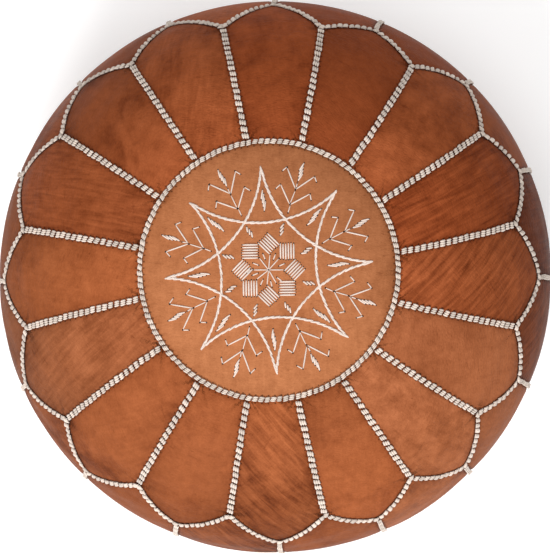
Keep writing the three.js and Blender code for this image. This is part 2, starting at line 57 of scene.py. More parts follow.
petals = 16
wedge = 2 * math.pi / petals
stitchPitch = 6.4 * mm
leather = {
    "thickness": 1.8 * mm, "seamGap": 0.3 * mm, "edgeDip": 2 * mm, "edgeReach": 2.6 * mm,
    "calmReach": 14 * mm, "lump": 0.9 * mm, "cadThickness": 2 * mm,
}
shape = {
    "notchShare": 0.891, "notchSlope": math.radians(51), "archPower": 1.2, "stations": 3000,
    "tuckSlope": math.radians(125), "baseSlope": math.radians(160), "tuckRadius": 60 * mm,
}
roundelLow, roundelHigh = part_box("roundel")
sidePoints = nodePoints("side_panel_01")
roundelRadius = roundelHigh.x + leather["seamGap"]
rimSlope = 2 * math.atan((roundelHigh.z - roundelLow.z - leather["cadThickness"]) / roundelRadius)
baseHeight = sidePoints[:, 2].min()
outerRadius = np.hypot(sidePoints[:, 0], sidePoints[:, 1]).max()
notchRadius = shape["notchShare"] * outerRadius

# The cover's outline as arcs that meet smoothly, from the middle of the top down to the base
arcs = []


def addArc(radius, toSlope):
    start = arcs[-1]["end"] if arcs else (0, 0, roundelHigh.z, 0)
    s, r, z, slope = start
    end = (
        s + radius * (toSlope - slope),
        r + radius * (math.sin(toSlope) - math.sin(slope)),
        z - radius * (math.cos(slope) - math.cos(toSlope)),
        toSlope,
    )
    arcs.append({"radius": radius, "start": start, "end": end})
    return end


roundelEdge = addArc(roundelRadius / math.sin(rimSlope), rimSlope)
notchSine = math.sin(shape["notchSlope"])
notch = addArc((notchRadius - roundelRadius) / (notchSine - math.sin(rimSlope)), shape["notchSlope"])
equator = addArc((outerRadius - notchRadius) / (1 - notchSine), math.pi / 2)
tuckDrop = shape["tuckRadius"] * (math.cos(shape["tuckSlope"]) - math.cos(shape["baseSlope"]))
addArc((equator[2] - baseHeight - tuckDrop) / -math.cos(shape["tuckSlope"]), shape["tuckSlope"])
baseEdge = addArc(shape["tuckRadius"], shape["baseSlope"])
stations = np.linspace(0, baseEdge[0], shape["stations"])
outline = np.empty((len(stations), 3))
for arc in arcs:
    s0, r0, z0, slope0 = arc["start"]
    inside = (stations >= s0) & (stations <= arc["end"][0] + 1e-9)
    slope = slope0 + (stations[inside] - s0) / arc["radius"]
    outline[inside, 0] = r0 + arc["radius"] * (np.sin(slope) - math.sin(slope0))
    outline[inside, 1] = z0 - arc["radius"] * (math.cos(slope0) - np.cos(slope))
    outline[inside, 2] = slope


def outlineAt(s):
    return [np.interp(s, stations, outline[:, k]) for k in range(3)]


def coverPoint(angle, s, lift=0):
    r, z, slope = outlineAt(s)
    out = r + lift * np.sin(slope)
    return np.stack([out * np.cos(angle), out * np.sin(angle), z + lift * np.cos(slope)], axis=-1)


def coverNormal(angle, s):
    slope = outlineAt(s)[2]
    return np.stack([np.sin(slope) * np.cos(angle), np.sin(slope) * np.sin(angle), np.cos(slope)], axis=-1)


def stationNear(point):
    r = math.hypot(point[0], point[1])
    return stations[np.argmin((outline[:, 0] - r) ** 2 + (outline[:, 1] - point[2]) ** 2)]


# How each seam strays from its even place, at the roundel and at the notch, and how far down the
# leather each notch and the top of each petal's arch lie
def seamPlaces():
    atRoundel, atNotch, notches, arches = np.empty((4, petals))
    for k in range(petals):
        even = (k + 0.5) * wedge
        side = nodePoints(f"side_panel_{k + 1:02d}")
        tip = side[side[:, 2].argmax()]
        petal = nodePoints(f"petal_{k + 1:02d}")
        inner = petal[np.hypot(petal[:, 0], petal[:, 1]) < roundelRadius + 1 * mm]
        turns = np.angle(np.exp(1j * (np.arctan2(inner[:, 1], inner[:, 0]) - even)))
        atRoundel[k] = turns.min() - leather["seamGap"] / roundelRadius
        atNotch[k] = np.angle(np.exp(1j * (math.atan2(tip[1], tip[0]) - even)))
        notches[k] = stationNear(tip) - leather["seamGap"]
        lowest = petal[np.hypot(petal[:, 0], petal[:, 1]).argmax()]
        arches[k] = stationNear(lowest) + leather["seamGap"]
    return atRoundel, atNotch, notches, arches


driftAtRoundel, driftAtNotch, notchStations, archStations = seamPlaces()


def seamAngle(index, s):
    index = np.asarray(index)
    share = np.clip((s - roundelEdge[0]) / (notch[0] - roundelEdge[0]), 0, 1)
    k = (index.astype(int) - 1) % petals
    return (index - 0.5) * wedge + driftAtRoundel[k] * (1 - share) + driftAtNotch[k] * share


# A place is counted in seams: 2.5 is halfway between seams 2 and 3. Petal 1 lies from 1 to 2.
def placeAngle(place, s):
    seam = np.floor(place)
    share = place - seam
    return seamAngle(seam, s) * (1 - share) + seamAngle(seam + 1, s) * share


def archAt(place):
    seam = np.floor(place)
    share = place - seam
    k = (seam.astype(int) - 1) % petals
    first, second = notchStations[k], notchStations[(k + 1) % petals]
    bow = 1 - np.abs(2 * share - 1) ** shape["archPower"]
    return first + (second - first) * share + (archStations[k] - (first + second) / 2) * bow


# The steepness of the arch's seam, as seen on the leather
def archSteepness(place):
    step = 0.03
    rise = (archAt(place + step) - archAt(place - step)) / (2 * step)
    return np.abs(rise) / (wedge * outlineAt(archAt(place))[0])


# Level runs from 0 at the roundel to 1 at the arches and 2 at the base.
def stationOf(place, level):
    arch = archAt(place)
    petalPart = roundelEdge[0] + (arch - roundelEdge[0]) * level
    sidePart = arch + (baseEdge[0] - arch) * (level - 1)
    return np.where(level <= 1, petalPart, sidePart)


# Making meshes

def addObject(name, mesh):
    obj = bpy.data.objects.new(name, mesh)
    scene.collection.objects.link(obj)
    return obj


attributeKinds = {1: ("FLOAT", "value"), 3: ("FLOAT_VECTOR", "vector"), 4: ("FLOAT_COLOR", "color")}


def addAttributes(mesh, attributes):
    for name, values in attributes.items():
        values = np.asarray(values, float)
        width = 1 if values.ndim == 1 else values.shape[1]
        kind, field = attributeKinds[width]
        mesh.attributes.new(name, kind, "POINT").data.foreach_set(field, values.ravel())


def meshObject(name, points, faces, attributes=None, edges=(), sharpAngle=50):
    mesh = bpy.data.meshes.new(name)
    mesh.from_pydata(np.asarray(points).tolist(), [tuple(e) for e in edges], np.asarray(faces).tolist())
    addAttributes(mesh, attributes or {})
    if len(faces):
        mesh.shade_smooth()
        mesh.set_sharp_from_angle(angle=math.radians(sharpAngle))
    return addObject(name, mesh)


def plainMesh(name, points, faces, attributes):
    mesh = bpy.data.meshes.new(name)
    mesh.from_pydata(points, [], faces)
    addAttributes(mesh, attributes)
    mesh.shade_smooth()
    return addObject(name, mesh)


# Quads of a grid of points, counted row by row
def gridFaces(rows, columns, start=0, closed=False, flipped=False):
    across = columns if closed else columns - 1
    r, c = np.meshgrid(np.arange(rows - 1), np.arange(across), indexing="ij")
    a = start + r * columns + c
    b = start + r * columns + (c + 1) % columns
    quads = np.stack([a, a + columns, b + columns, b], axis=-1).reshape(-1, 4)
    return quads[:, ::-1] if flipped else quads


# A closed sheet between an outer and an inner grid. Attributes are given for one side.
def sheetObject(name, outer, inner, attributes, closedRound=False, faceUp=1):
    if faceUp < 0:
        outer, inner = inner, outer
    rows, columns = outer.shape[:2]
    count = rows * columns
    quads = [
        gridFaces(rows, columns, 0, closedRound),
        gridFaces(rows, columns, count, closedRound, flipped=True),
    ]
    index = np.arange(count).reshape(rows, columns)
    if closedRound:
        borders = [np.append(index[-1], index[-1][0]), np.append(index[0], index[0][0])[::-1]]
    else:
        rim = np.concatenate([index[:, 0], index[-1, 1:], index[-2::-1, -1], index[0, -2::-1]])
        borders = [rim]
    for border in borders:
        p, q = border[:-1], border[1:]
        quads.append(np.stack([q, p, p + count, q + count], axis=-1))
    points = np.concatenate([outer.reshape(-1, 3), inner.reshape(-1, 3)])
    both = {key: np.concatenate([value, value]) for key, value in attributes.items()}
    return meshObject(name, points, np.concatenate(quads), both)


def finishPiece(obj, material, replaced=(), body="cover"):
    if material:
        obj.data.materials.clear()
        obj.data.materials.append(material)
    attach(obj, body)
    if replaced:
        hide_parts(*replaced)
    return obj


# Node helpers

def fillInputs(tree, node, inputs):
    for key, value in inputs.items():
        if isinstance(value, bpy.types.NodeSocket):
            tree.links.new(value, node.inputs[key])
        else:
            node.inputs[key].default_value = value


def addNode(tree, kind, inputs=None, **settings):
    node = tree.nodes.new(kind)
    for key, value in settings.items():
        setattr(node, key, value)
    fillInputs(tree, node, inputs or {})
    return node


def calc(tree, operation, *values):
    inputs = dict(enumerate(values))
    return addNode(tree, "ShaderNodeMath", inputs, operation=operation).outputs[0]


def vectorCalc(tree, operation, *values):
    inputs = dict(enumerate(values))
    return addNode(tree, "ShaderNodeVectorMath", inputs, operation=operation).outputs[0]


def mapped(tree, value, low, high, toLow=0.0, toHigh=1.0, smooth=False):
    inputs = {"Value": value, "From Min": low, "From Max": high, "To Min": toLow, "To Max": toHigh}
    kind = "SMOOTHSTEP" if smooth else "LINEAR"
    return addNode(tree, "ShaderNodeMapRange", inputs, interpolation_type=kind).outputs[0]


def mixed(tree, factor, a, b, blend="MIX"):
    inputs = {0: factor, 6: a, 7: b}
    return addNode(tree, "ShaderNodeMix", inputs, data_type="RGBA", blend_type=blend).outputs[2]


def noise(tree, vector, scale, detail=2.0, roughness=0.5, distortion=0.0):
    inputs = {
        "Vector": vector, "Scale": scale, "Detail": detail,
        "Roughness": roughness, "Distortion": distortion,
    }
    return addNode(tree, "ShaderNodeTexNoise", inputs).outputs[0]


def combined(tree, x=0.0, y=0.0, z=0.0):
    return addNode(tree, "ShaderNodeCombineXYZ", {0: x, 1: y, 2: z}).outputs[0]


def separated(tree, vector):
    return addNode(tree, "ShaderNodeSeparateXYZ", {0: vector}).outputs


def attribute(tree, name, output="Fac"):
    return addNode(tree, "ShaderNodeAttribute", attribute_name=name).outputs[output]


def newGroup(name, kind, inputs, outputs):
    tree = bpy.data.node_groups.new(name, kind)
    for label, (socketKind, value) in inputs.items():
        socket = tree.interface.new_socket(label, in_out="INPUT", socket_type="NodeSocket" + socketKind)
        if value is not None:
            socket.default_value = value
    for label, socketKind in outputs.items():
        tree.interface.new_socket(label, in_out="OUTPUT", socket_type="NodeSocket" + socketKind)
    return tree, tree.nodes.new("NodeGroupInput").outputs, tree.nodes.new("NodeGroupOutput")


def groupNode(tree, group, inputs):
    node = tree.nodes.new("ShaderNodeGroup")
    node.node_tree = group
    fillInputs(tree, node, inputs)
    return node.outputs


def newMaterial(name, **values):
    material = bpy.data.materials.new(name)
    material.use_nodes = True
    tree = material.node_tree
    shader = tree.nodes["Principled BSDF"]
    for key, value in values.items():
        shader.inputs[key].default_value = value
    return material, tree, shader


def link(tree, output, socket):
    tree.links.new(output, socket)


# Geometry node trees all end alike: the copies become one mesh with the given material
def finishTree(tree, given, result, geometry):
    solid = addNode(tree, "GeometryNodeRealizeInstances", {"Geometry": geometry}).outputs[0]
    inputs = {"Geometry": solid, "Material": given["Material"]}
    link(tree, addNode(tree, "GeometryNodeSetMaterial", inputs).outputs[0], result.inputs[0])
    return tree


def growthTree(name, **inputs):
    inputs = {"Geometry": ("Geometry", None), **inputs, "Material": ("Material", None)}
    return newGroup(name, "GeometryNodeTree", inputs, {"Geometry": "Geometry"})


def objectGeometry(tree, source):
    return addNode(tree, "GeometryNodeObjectInfo", {"Object": source}).outputs["Geometry"]


def storedOnPoints(tree, name, kind="FLOAT"):
    return addNode(tree, "GeometryNodeInputNamedAttribute", {"Name": name}, data_type=kind).outputs[0]


def randomValue(tree, low, high, seed):
    if isinstance(low, tuple):
        inputs, kind, output = {0: low, 1: high, "Seed": seed}, "FLOAT_VECTOR", 0
    else:
        inputs, kind, output = {2: low, 3: high, "Seed": seed}, "FLOAT", 1
    return addNode(tree, "FunctionNodeRandomValue", inputs, data_type=kind).outputs[output]


def marked(tree, geometry, name, value, domain):
    inputs = {"Geometry": geometry, "Name": name, "Value": value}
    node = addNode(tree, "GeometryNodeStoreNamedAttribute", inputs, data_type="FLOAT", domain=domain)
    return node.outputs[0]


# Shader groups

def leatherGrainGroup():
    inputs = {"Vector": ("Vector", None), "Seam": ("Vector", None), "Pores": ("Float", 900.0)}
    tree, given, result = newGroup("leatherGrain", "ShaderNodeTree", inputs, {"Height": "Float"})
    cells = addNode(tree, "ShaderNodeTexVoronoi", {"Vector": given["Vector"], "Scale": given["Pores"]})
    pores = mapped(tree, cells.outputs["Distance"], 0.0, 0.6, -1.0, 0.0)
    fine = calc(tree, "MULTIPLY", noise(tree, given["Vector"], 420.0, 3.0, 0.6), 2.2)
    soft = calc(tree, "MULTIPLY", noise(tree, given["Vector"], 55.0, 3.0, 0.5), 9.0)
    distance, along, _ = separated(tree, given["Seam"])
    # the leather puckers between the stitches, less with distance from the seam
    ripple = calc(tree, "SINE", calc(tree, "MULTIPLY", along, 2 * math.pi / stitchPitch))
    fade = calc(tree, "EXPONENT", calc(tree, "DIVIDE", distance, -5.5 * mm))
    pucker = calc(tree, "MULTIPLY", calc(tree, "MULTIPLY", ripple, fade), 5.0)
    # creases from the hide's own folds
    folded = vectorCalc(tree, "MULTIPLY", given["Vector"], combined(tree, 1.0, 2.6, 1.0))
    folds = noise(tree, folded, 95.0, 2.0, 0.5, 0.3)
    fromFold = calc(tree, "ABSOLUTE", calc(tree, "SUBTRACT", folds, 0.5))
    creases = mapped(tree, fromFold, 0.0, 0.1, -2.6, 0.0, True)
    total = calc(tree, "ADD", calc(tree, "ADD", pores, fine), calc(tree, "ADD", soft, pucker))
    total = calc(tree, "ADD", total, creases)
    link(tree, total, result.inputs["Height"])
    return tree


# Dye of the leather (streaks, mottling, stains, scuffs and specks), with painted shade in the groove along
# each seam and in the needle holes
def dyeAndPaintedShadeGroup():
    inputs = {name: ("Vector", None) for name in ("Vector", "Character", "Seam")}
    outputs = {"Shade": "Float", "ShadedHoles": "Float", "Polish": "Float"}
    tree, given, result = newGroup("dyeAndPaintedShade", "ShaderNodeTree", inputs, outputs)
    streaks, mottle, patches = separated(tree, given["Character"])
    x, y, z = separated(tree, given["Vector"])
    stretched = combined(tree, calc(tree, "MULTIPLY", x, 9.0), y, z)
    streakNoise = noise(tree, stretched, 26.0, 4.0, 0.6, 0.6)
    streakShade = calc(tree, "MULTIPLY", mapped(tree, streakNoise, 0.3, 0.7, -0.34, 0.24), streaks)
    mottleNoise = noise(tree, given["Vector"], 38.0, 5.0, 0.62, 0.3)
    mottleShade = calc(tree, "MULTIPLY", mapped(tree, mottleNoise, 0.28, 0.72, -0.3, 0.25), mottle)
    cloud = noise(tree, given["Vector"], 13.0, 3.0, 0.55, 0.8)
    patchShade = calc(tree, "MULTIPLY", mapped(tree, cloud, 0.46, 0.68, 0.05, -0.38, True), patches)
    # fine blotches a few millimetres across, and specks
    blotch = noise(tree, given["Vector"], 110.0, 5.0, 0.6, 0.2)
    blotchShade = mapped(tree, blotch, 0.3, 0.7, -0.11, 0.09)
    speck = noise(tree, given["Vector"], 520.0, 2.0, 0.6)
    speckShade = mapped(tree, speck, 0.3, 0.7, -0.07, 0.06)
    rubbed = vectorCalc(tree, "MULTIPLY", given["Vector"], combined(tree, 1.0, 3.2, 1.0))
    scuff = noise(tree, rubbed, 60.0, 4.0, 0.7, 1.0)
    scuffShade = mapped(tree, scuff, 0.6, 0.68, 0.0, -0.16, True)
    distance, along, _ = separated(tree, given["Seam"])
    # painted shade in the groove along each seam, and a wider faint band that darkens the leather towards the
    # seam
    edge = calc(tree, "EXPONENT", calc(tree, "DIVIDE", distance, -2.4 * mm))
    wide = calc(tree, "EXPONENT", calc(tree, "DIVIDE", distance, -11 * mm))
    paintedSeamShade = calc(tree, "ADD", calc(tree, "MULTIPLY", edge, -0.38), calc(tree, "MULTIPLY", wide, -0.12))
    total = calc(tree, "ADD", 1.0, streakShade)
    for part in (mottleShade, patchShade, blotchShade, speckShade, scuffShade, paintedSeamShade):
        total = calc(tree, "ADD", total, part)
    link(tree, calc(tree, "MAXIMUM", total, 0.08), result.inputs["Shade"])
    # needle holes on both sides of the lacing: a mask that sinks the bump and is painted near-black as the
    # shade inside each hole
    step = calc(tree, "DIVIDE", along, stitchPitch)
    nearest = calc(tree, "SUBTRACT", step, calc(tree, "ROUND", step))
    alongOff = calc(tree, "MULTIPLY", nearest, stitchPitch)
    acrossOff = calc(tree, "SUBTRACT", distance, 3.7 * mm)
    squares = [calc(tree, "MULTIPLY", value, value) for value in (alongOff, acrossOff)]
    spot = calc(tree, "SQRT", calc(tree, "ADD", *squares))
    holes = mapped(tree, spot, 0.4 * mm, 1.2 * mm, 0.7, 0.0, True)
    link(tree, holes, result.inputs["ShadedHoles"])
    link(tree, mapped(tree, mottleNoise, 0.3, 0.7, -1.0, 1.0), result.inputs["Polish"])
    return tree


def threadTwistGroup():
    inputs = {"Pitch": ("Float", 2.2 * mm)}
    outputs = {"Height": "Float", "ToneAndPlyShade": "Float"}
    tree, given, result = newGroup("threadTwist", "ShaderNodeTree", inputs, outputs)
    along, around, tone = (attribute(tree, name) for name in ("along", "around", "tone"))
    wound = calc(tree, "MULTIPLY", around, 2.0)
    turns = calc(tree, "ADD", calc(tree, "DIVIDE", along, given["Pitch"]), wound)
    plies = calc(tree, "ABSOLUTE", calc(tree, "SINE", calc(tree, "MULTIPLY", turns, math.pi)))
    position = addNode(tree, "ShaderNodeTexCoord").outputs["Object"]
    fuzz = noise(tree, position, 1500.0, 2.0, 0.6)
    height = calc(tree, "ADD", plies, calc(tree, "MULTIPLY", fuzz, 0.6))
    link(tree, height, result.inputs["Height"])
    # painted shade in the grooves between the plies, times each stitch's own tone
    shade = calc(tree, "MULTIPLY", mapped(tree, plies, 0.0, 0.6, 0.72, 1.0, True), tone)
    link(tree, shade, result.inputs["ToneAndPlyShade"])
    return tree


def weaveGroup():
    inputs = {"Vector": ("Vector", None), "Threads": ("Float", 1200.0)}
    outputs = {"Height": "Float"}
    tree, given, result = newGroup("plainWeave", "ShaderNodeTree", inputs, outputs)
    x, y, _ = separated(tree, given["Vector"])
    waves = []
    for value in (x, y):
        turn = calc(tree, "MULTIPLY", calc(tree, "MULTIPLY", value, given["Threads"]), math.pi)
        waves.append(calc(tree, "ABSOLUTE", calc(tree, "SINE", turn)))
    link(tree, calc(tree, "MAXIMUM", *waves), result.inputs["Height"])
    return tree


def metalWearGroup():
    inputs = {"Vector": ("Vector", None)}
    outputs = {"Dull": "Float", "Scratches": "Float"}
    tree, given, result = newGroup("metalWear", "ShaderNodeTree", inputs, outputs)
    link(tree, mapped(tree, noise(tree, given["Vector"], 240.0, 4.0), 0.35, 0.65), result.inputs["Dull"])
    x, y, z = separated(tree, given["Vector"])
    stretched = combined(tree, x, calc(tree, "MULTIPLY", y, 14.0), z)
    link(tree, noise(tree, stretched, 900.0, 3.0), result.inputs["Scratches"])
    return tree


leatherGrain, dyeAndPaintedShade = leatherGrainGroup(), dyeAndPaintedShadeGroup()
threadTwist, plainWeave, metalWear = threadTwistGroup(), weaveGroup(), metalWearGroup()


# Materials

def linear(*bytesRgb):
    values = [value / 255 for value in bytesRgb]
    return np.array([v / 12.92 if v <= 0.04045 else ((v + 0.055) / 1.055) ** 2.4 for v in values])


def bumped(tree, shader, height, strength, distance):
    inputs = {"Height": height, "Strength": strength, "Distance": distance}
    link(tree, addNode(tree, "ShaderNodeBump", inputs).outputs[0], shader.inputs["Normal"])


# Waxed leather: hardly any mirror-like shine, so its rim stays as brown as its middle
def leatherMaterial(name, roughness, grain):
    material, tree, shader = newMaterial(name, **{"Specular IOR Level": 0.03})
    uv = addNode(tree, "ShaderNodeUVMap", uv_map="grain").outputs[0]
    seam = attribute(tree, "seam", "Vector")
    dyedAndShaded = groupNode(tree, dyeAndPaintedShade, {
        "Vector": uv, "Character": attribute(tree, "character", "Vector"), "Seam": seam,
    })
    # the dye's own variation, with painted shade along the seams
    shade = dyedAndShaded["Shade"]
    # a darker shade is a redder one
    tint = combined(tree, shade, calc(tree, "POWER", shade, 1.25), calc(tree, "POWER", shade, 1.5))
    colour = mixed(tree, 1.0, attribute(tree, "dye", "Color"), tint, "MULTIPLY")
    # painted shade: the needle holes are coloured near-black
    colour = mixed(tree, calc(tree, "MULTIPLY", dyedAndShaded["ShadedHoles"], 0.9), colour, (0.012, 0.006, 0.004, 1))
    link(tree, colour, shader.inputs["Base Color"])
    rough = calc(tree, "ADD", roughness, calc(tree, "MULTIPLY", dyedAndShaded["Polish"], 0.07))
    link(tree, rough, shader.inputs["Roughness"])
    height = groupNode(tree, leatherGrain, {"Vector": uv, "Seam": seam})["Height"]
    height = calc(tree, "SUBTRACT", height, calc(tree, "MULTIPLY", dyedAndShaded["ShadedHoles"], 6.0))
    bumped(tree, shader, height, grain, 0.06 * mm)
    return material


def threadMaterial(name, colour, pitch):
    material, tree, shader = newMaterial(name, **{"Roughness": 0.75, "Sheen Weight": 0.25})
    twist = groupNode(tree, threadTwist, {"Pitch": pitch})
    tone = combined(tree, twist["ToneAndPlyShade"], twist["ToneAndPlyShade"], twist["ToneAndPlyShade"])
    link(tree, mixed(tree, 1.0, (*colour, 1), tone, "MULTIPLY"), shader.inputs["Base Color"])
    bumped(tree, shader, twist["Height"], 0.6, 0.25 * mm)
    return material


def wovenMaterial(name, colour, threads):
    material, tree, shader = newMaterial(name, Roughness=0.9)
    place = addNode(tree, "ShaderNodeTexCoord").outputs["Object"]
    height = groupNode(tree, plainWeave, {"Vector": place, "Threads": threads})["Height"]
    worn = mapped(tree, noise(tree, place, 30.0, 3.0), 0.3, 0.7, 0.85, 1.1)
    # painted shade between the threads of the weave, times paler and darker worn patches
    shade = calc(tree, "MULTIPLY", mapped(tree, height, 0.3, 1.0, 0.6, 1.0), worn)
    tone = combined(tree, shade, shade, shade)
    link(tree, mixed(tree, 1.0, (*colour, 1), tone, "MULTIPLY"), shader.inputs["Base Color"])
    bumped(tree, shader, height, 0.5, 0.2 * mm)
    return material


def brassMaterial():
    material, tree, shader = newMaterial("agedBrass", Metallic=1.0)
    place = addNode(tree, "ShaderNodeTexCoord").outputs["Object"]
    wear = groupNode(tree, metalWear, {"Vector": place})
    colour = mixed(tree, wear["Dull"], (*linear(196, 152, 84), 1), (*linear(132, 96, 52), 1))
    link(tree, colour, shader.inputs["Base Color"])
    link(tree, mapped(tree, wear["Scratches"], 0.3, 0.7, 0.24, 0.46), shader.inputs["Roughness"])
    return material


leatherLooks = {
    "leather_roundel": leatherMaterial("roundelLeather", 0.58, 0.6),
    "leather_dark": leatherMaterial("chestnutLeather", 0.5, 0.9),
    "leather_tan": leatherMaterial("tanLeather", 0.54, 0.9),
    "leather_light": leatherMaterial("honeyLeather", 0.54, 0.95),
    "leather_base": leatherMaterial("baseLeather", 0.66, 0.9),
}
lacingThread = threadMaterial("lacingThread", linear(212, 197, 184), 2.0 * mm)
fineThread = threadMaterial("embroideryThread", linear(222, 204, 192), 1.5 * mm)
tapeCloth = wovenMaterial("tapeCloth", linear(88, 60, 42), 1500.0)
linerCotton = wovenMaterial("linerCotton", linear(226, 217, 198), 1100.0)
fillingFibre = wovenMaterial("fillingFibre", linear(214, 207, 194), 260.0)
brass = brassMaterial()
print("materials ready")


# Stuffing: how far the leather swells between its seams

cloth = {
    "columnsPerPetal": 16, "petalRows": 24, "sideRows": 38,
    "pressure": 4, "frames": 20, "cap": 4.5 * mm, "stretch": 25, "shear": 10, "bending": 2,
}
fieldColumns = petals * cloth["columnsPerPetal"]
fieldRows = cloth["petalRows"] + cloth["sideRows"] + 1
fieldLevels = np.concatenate([
    np.linspace(0, 1, cloth["petalRows"] + 1),
    np.linspace(1, 2, cloth["sideRows"] + 1)[1:],
])
fieldPlaces = 1 + np.arange(fieldColumns) / cloth["columnsPerPetal"]


def heldPoints():
    held = np.zeros((fieldRows, fieldColumns), bool)
    held[[0, cloth["petalRows"], -1]] = True
    seam = np.arange(fieldColumns) % cloth["columnsPerPetal"]
    held[:cloth["petalRows"], seam == 0] = True
    held[cloth["petalRows"]:, seam == cloth["columnsPerPetal"] // 2] = True
    return held


# Pressure lifts the leather off its rest shape wherever no seam holds it
def stuffedField():
    place, level = np.meshgrid(fieldPlaces, fieldLevels)
    s = stationOf(place, level)
    angle = placeAngle(place, s)
    rest = coverPoint(angle, s)
    obj = meshObject("stuffedCover", rest.reshape(-1, 3), gridFaces(fieldRows, fieldColumns, closed=True))
    group = obj.vertex_groups.new(name="held")
    group.add(np.flatnonzero(heldPoints().ravel()).tolist(), 1.0, "ADD")
    modifier = obj.modifiers.new("stuffing", "CLOTH")
    settings = modifier.settings
    settings.quality = 5
    settings.vertex_group_mass = "held"
    settings.use_pressure = True
    settings.uniform_pressure_force = cloth["pressure"]
    settings.effector_weights.gravity = 0
    settings.tension_stiffness = settings.compression_stiffness = cloth["stretch"]
    settings.shear_stiffness = cloth["shear"]
    settings.bending_stiffness = cloth["bending"]
    modifier.collision_settings.use_self_collision = False
    modifier.collision_settings.use_collision = False
    modifier.point_cache.frame_start, modifier.point_cache.frame_end = 1, cloth["frames"]
    for number in range(1, cloth["frames"] + 1):
        scene.frame_set(number)
    swollen = obj.evaluated_get(bpy.context.evaluated_depsgraph_get()).data
    points = np.empty(rest.size)
    swollen.vertices.foreach_get("co", points)
    moved = points.reshape(rest.shape) - rest
    lift = (moved * coverNormal(angle, s)).sum(-1)
    scene.frame_set(1)
    bpy.data.objects.remove(obj)
    print("stuffing: lift up to", round(lift.max() / mm, 2), "mm, mean", round(lift.mean() / mm, 2))
    return cloth["cap"] * np.tanh(np.maximum(lift, 0) / cloth["cap"])


def softest(*distances):
    stack = np.stack(distances)
    return np.maximum((np.maximum(stack, 1e-5) ** -3.0).sum(0) ** (-1 / 3), 0)


# Distance from the nearest seam, and how far along it, for a point of a petal
def petalDistance(place, level):
    s = stationOf(place, level)
    r = outlineAt(s)[0]
    share = place - np.floor(place)
    steep = archSteepness(place)
    sides = np.minimum(share, 1 - share) * wedge * r
    inner = s - roundelEdge[0]
    arch = (archAt(place) - s) / np.sqrt(1 + steep ** 2)
    along = np.where(inner < np.minimum(sides, arch), placeAngle(place, s) * roundelRadius, s)
    along = np.where(arch < np.minimum(sides, inner), share * wedge * notchRadius * 1.35, along)
    return softest(sides, inner, arch), along


def sideDistance(place, level):
    s = stationOf(place, level)
    r = outlineAt(s)[0]
    share = place + 0.5 - np.floor(place + 0.5)
    steep = archSteepness(place)
    sides = np.minimum(share, 1 - share) * wedge * r
    arch = (s - archAt(place)) / np.sqrt(1 + steep ** 2)
    base = baseEdge[0] - s
    along = np.where(arch < np.minimum(sides, base), share * wedge * notchRadius * 1.35, s)
    return softest(sides, arch, base + 2 * mm), along


field = stuffedField()


def fieldAt(place, level):
    column = (place - 1) * cloth["columnsPerPetal"]
    row = np.interp(level, fieldLevels, np.arange(fieldRows))
    c0, r0 = np.floor(column).astype(int), np.minimum(np.floor(row).astype(int), fieldRows - 2)
    fc, fr = column - c0, row - r0
    c0, c1 = c0 % fieldColumns, (c0 + 1) % fieldColumns
    top = field[r0, c0] * (1 - fc) + field[r0, c1] * fc
    low = field[r0 + 1, c0] * (1 - fc) + field[r0 + 1, c1] * fc
    return top * (1 - fr) + low * fr


# Leather panels

dyes = {
    "chestnut": linear(132, 64, 32), "russet": linear(144, 75, 41),
    "tan": linear(150, 82, 46), "honey": linear(158, 92, 57),
}
# For each petal: dye, strength of the dye at the roundel and at the arch, streaks, mottling, dark
# patches, and the turn of its grain in degrees
petalLooks = [
    ("chestnut", 1.20, 0.76, 1.0, 0.3, 0.3, 5),
    ("russet", 1.13, 0.85, 0.1, 0.9, 0.4, 20),
    ("chestnut", 1.04, 0.82, 0.1, 0.3, 0.3, -15),
    ("chestnut", 1.11, 1.00, 0.2, 0.6, 0.4, 10),
    ("russet", 1.22, 0.84, 0.4, 0.5, 0.4, -25),
    ("russet", 1.14, 0.66, 0.1, 0.5, 1.0, 30),
    ("russet", 0.92, 0.90, 0.7, 0.3, 0.4, 10),
    ("tan", 1.13, 0.72, 0.2, 0.5, 0.4, -10),
    ("honey", 1.08, 0.52, 0.5, 0.5, 0.5, 15),
    ("tan", 0.97, 0.68, 0.2, 0.5, 1.0, -30),
    ("tan", 1.00, 0.62, 0.1, 0.3, 0.4, 0),
    ("tan", 1.06, 0.55, 0.9, 0.5, 0.7, 40),
    ("tan", 0.90, 0.93, 0.2, 0.4, 0.4, -20),
    ("honey", 1.00, 0.84, 0.2, 1.0, 0.4, 10),
    ("honey", 0.99, 0.84, 0.1, 0.4, 0.4, 25),
    ("russet", 1.10, 0.76, 1.0, 0.4, 0.5, 45),
]
# How much darker or paler each side panel is than the arch of its petal
sideShades = [0.7, 0.9, 1.1, 1, 1.35, 1.35, 1, 1.05, 1.25, 1.1, 1.15, 1.2, 0.8, 1.05, 1, 0.8]
petalSlots = ["leather_dark"] * 7 + [
    "leather_tan", "leather_light", "leather_tan", "leather_tan", "leather_light",
    "leather_tan", "leather_light", "leather_tan", "leather_dark",
]
random = np.random.default_rng(7)


def clustered(count):
    even = np.linspace(-1, 1, count)
    return 0.5 + 0.5 * (0.55 * np.sin(even * math.pi / 2) + 0.45 * even)


# Slow lumps in the leather: waves round the pouf and down it, each with its own phase
lump = {"count": 9, "turns": (0.8, 2.6), "perTurn": 9, "waves": (90, 230), "phase": (0, 6.28)}
lumpParts = ("turns", "waves", "phase")
lumps = [[random.uniform(*lump[part]) for part in lumpParts] for _ in range(lump["count"])]


def lumpiness(angle, s):
    total = np.zeros_like(s)
    for turns, waves, phase in lumps:
        total += np.sin(np.round(turns * lump["perTurn"]) * angle + waves * s + phase)
    return total / len(lumps)


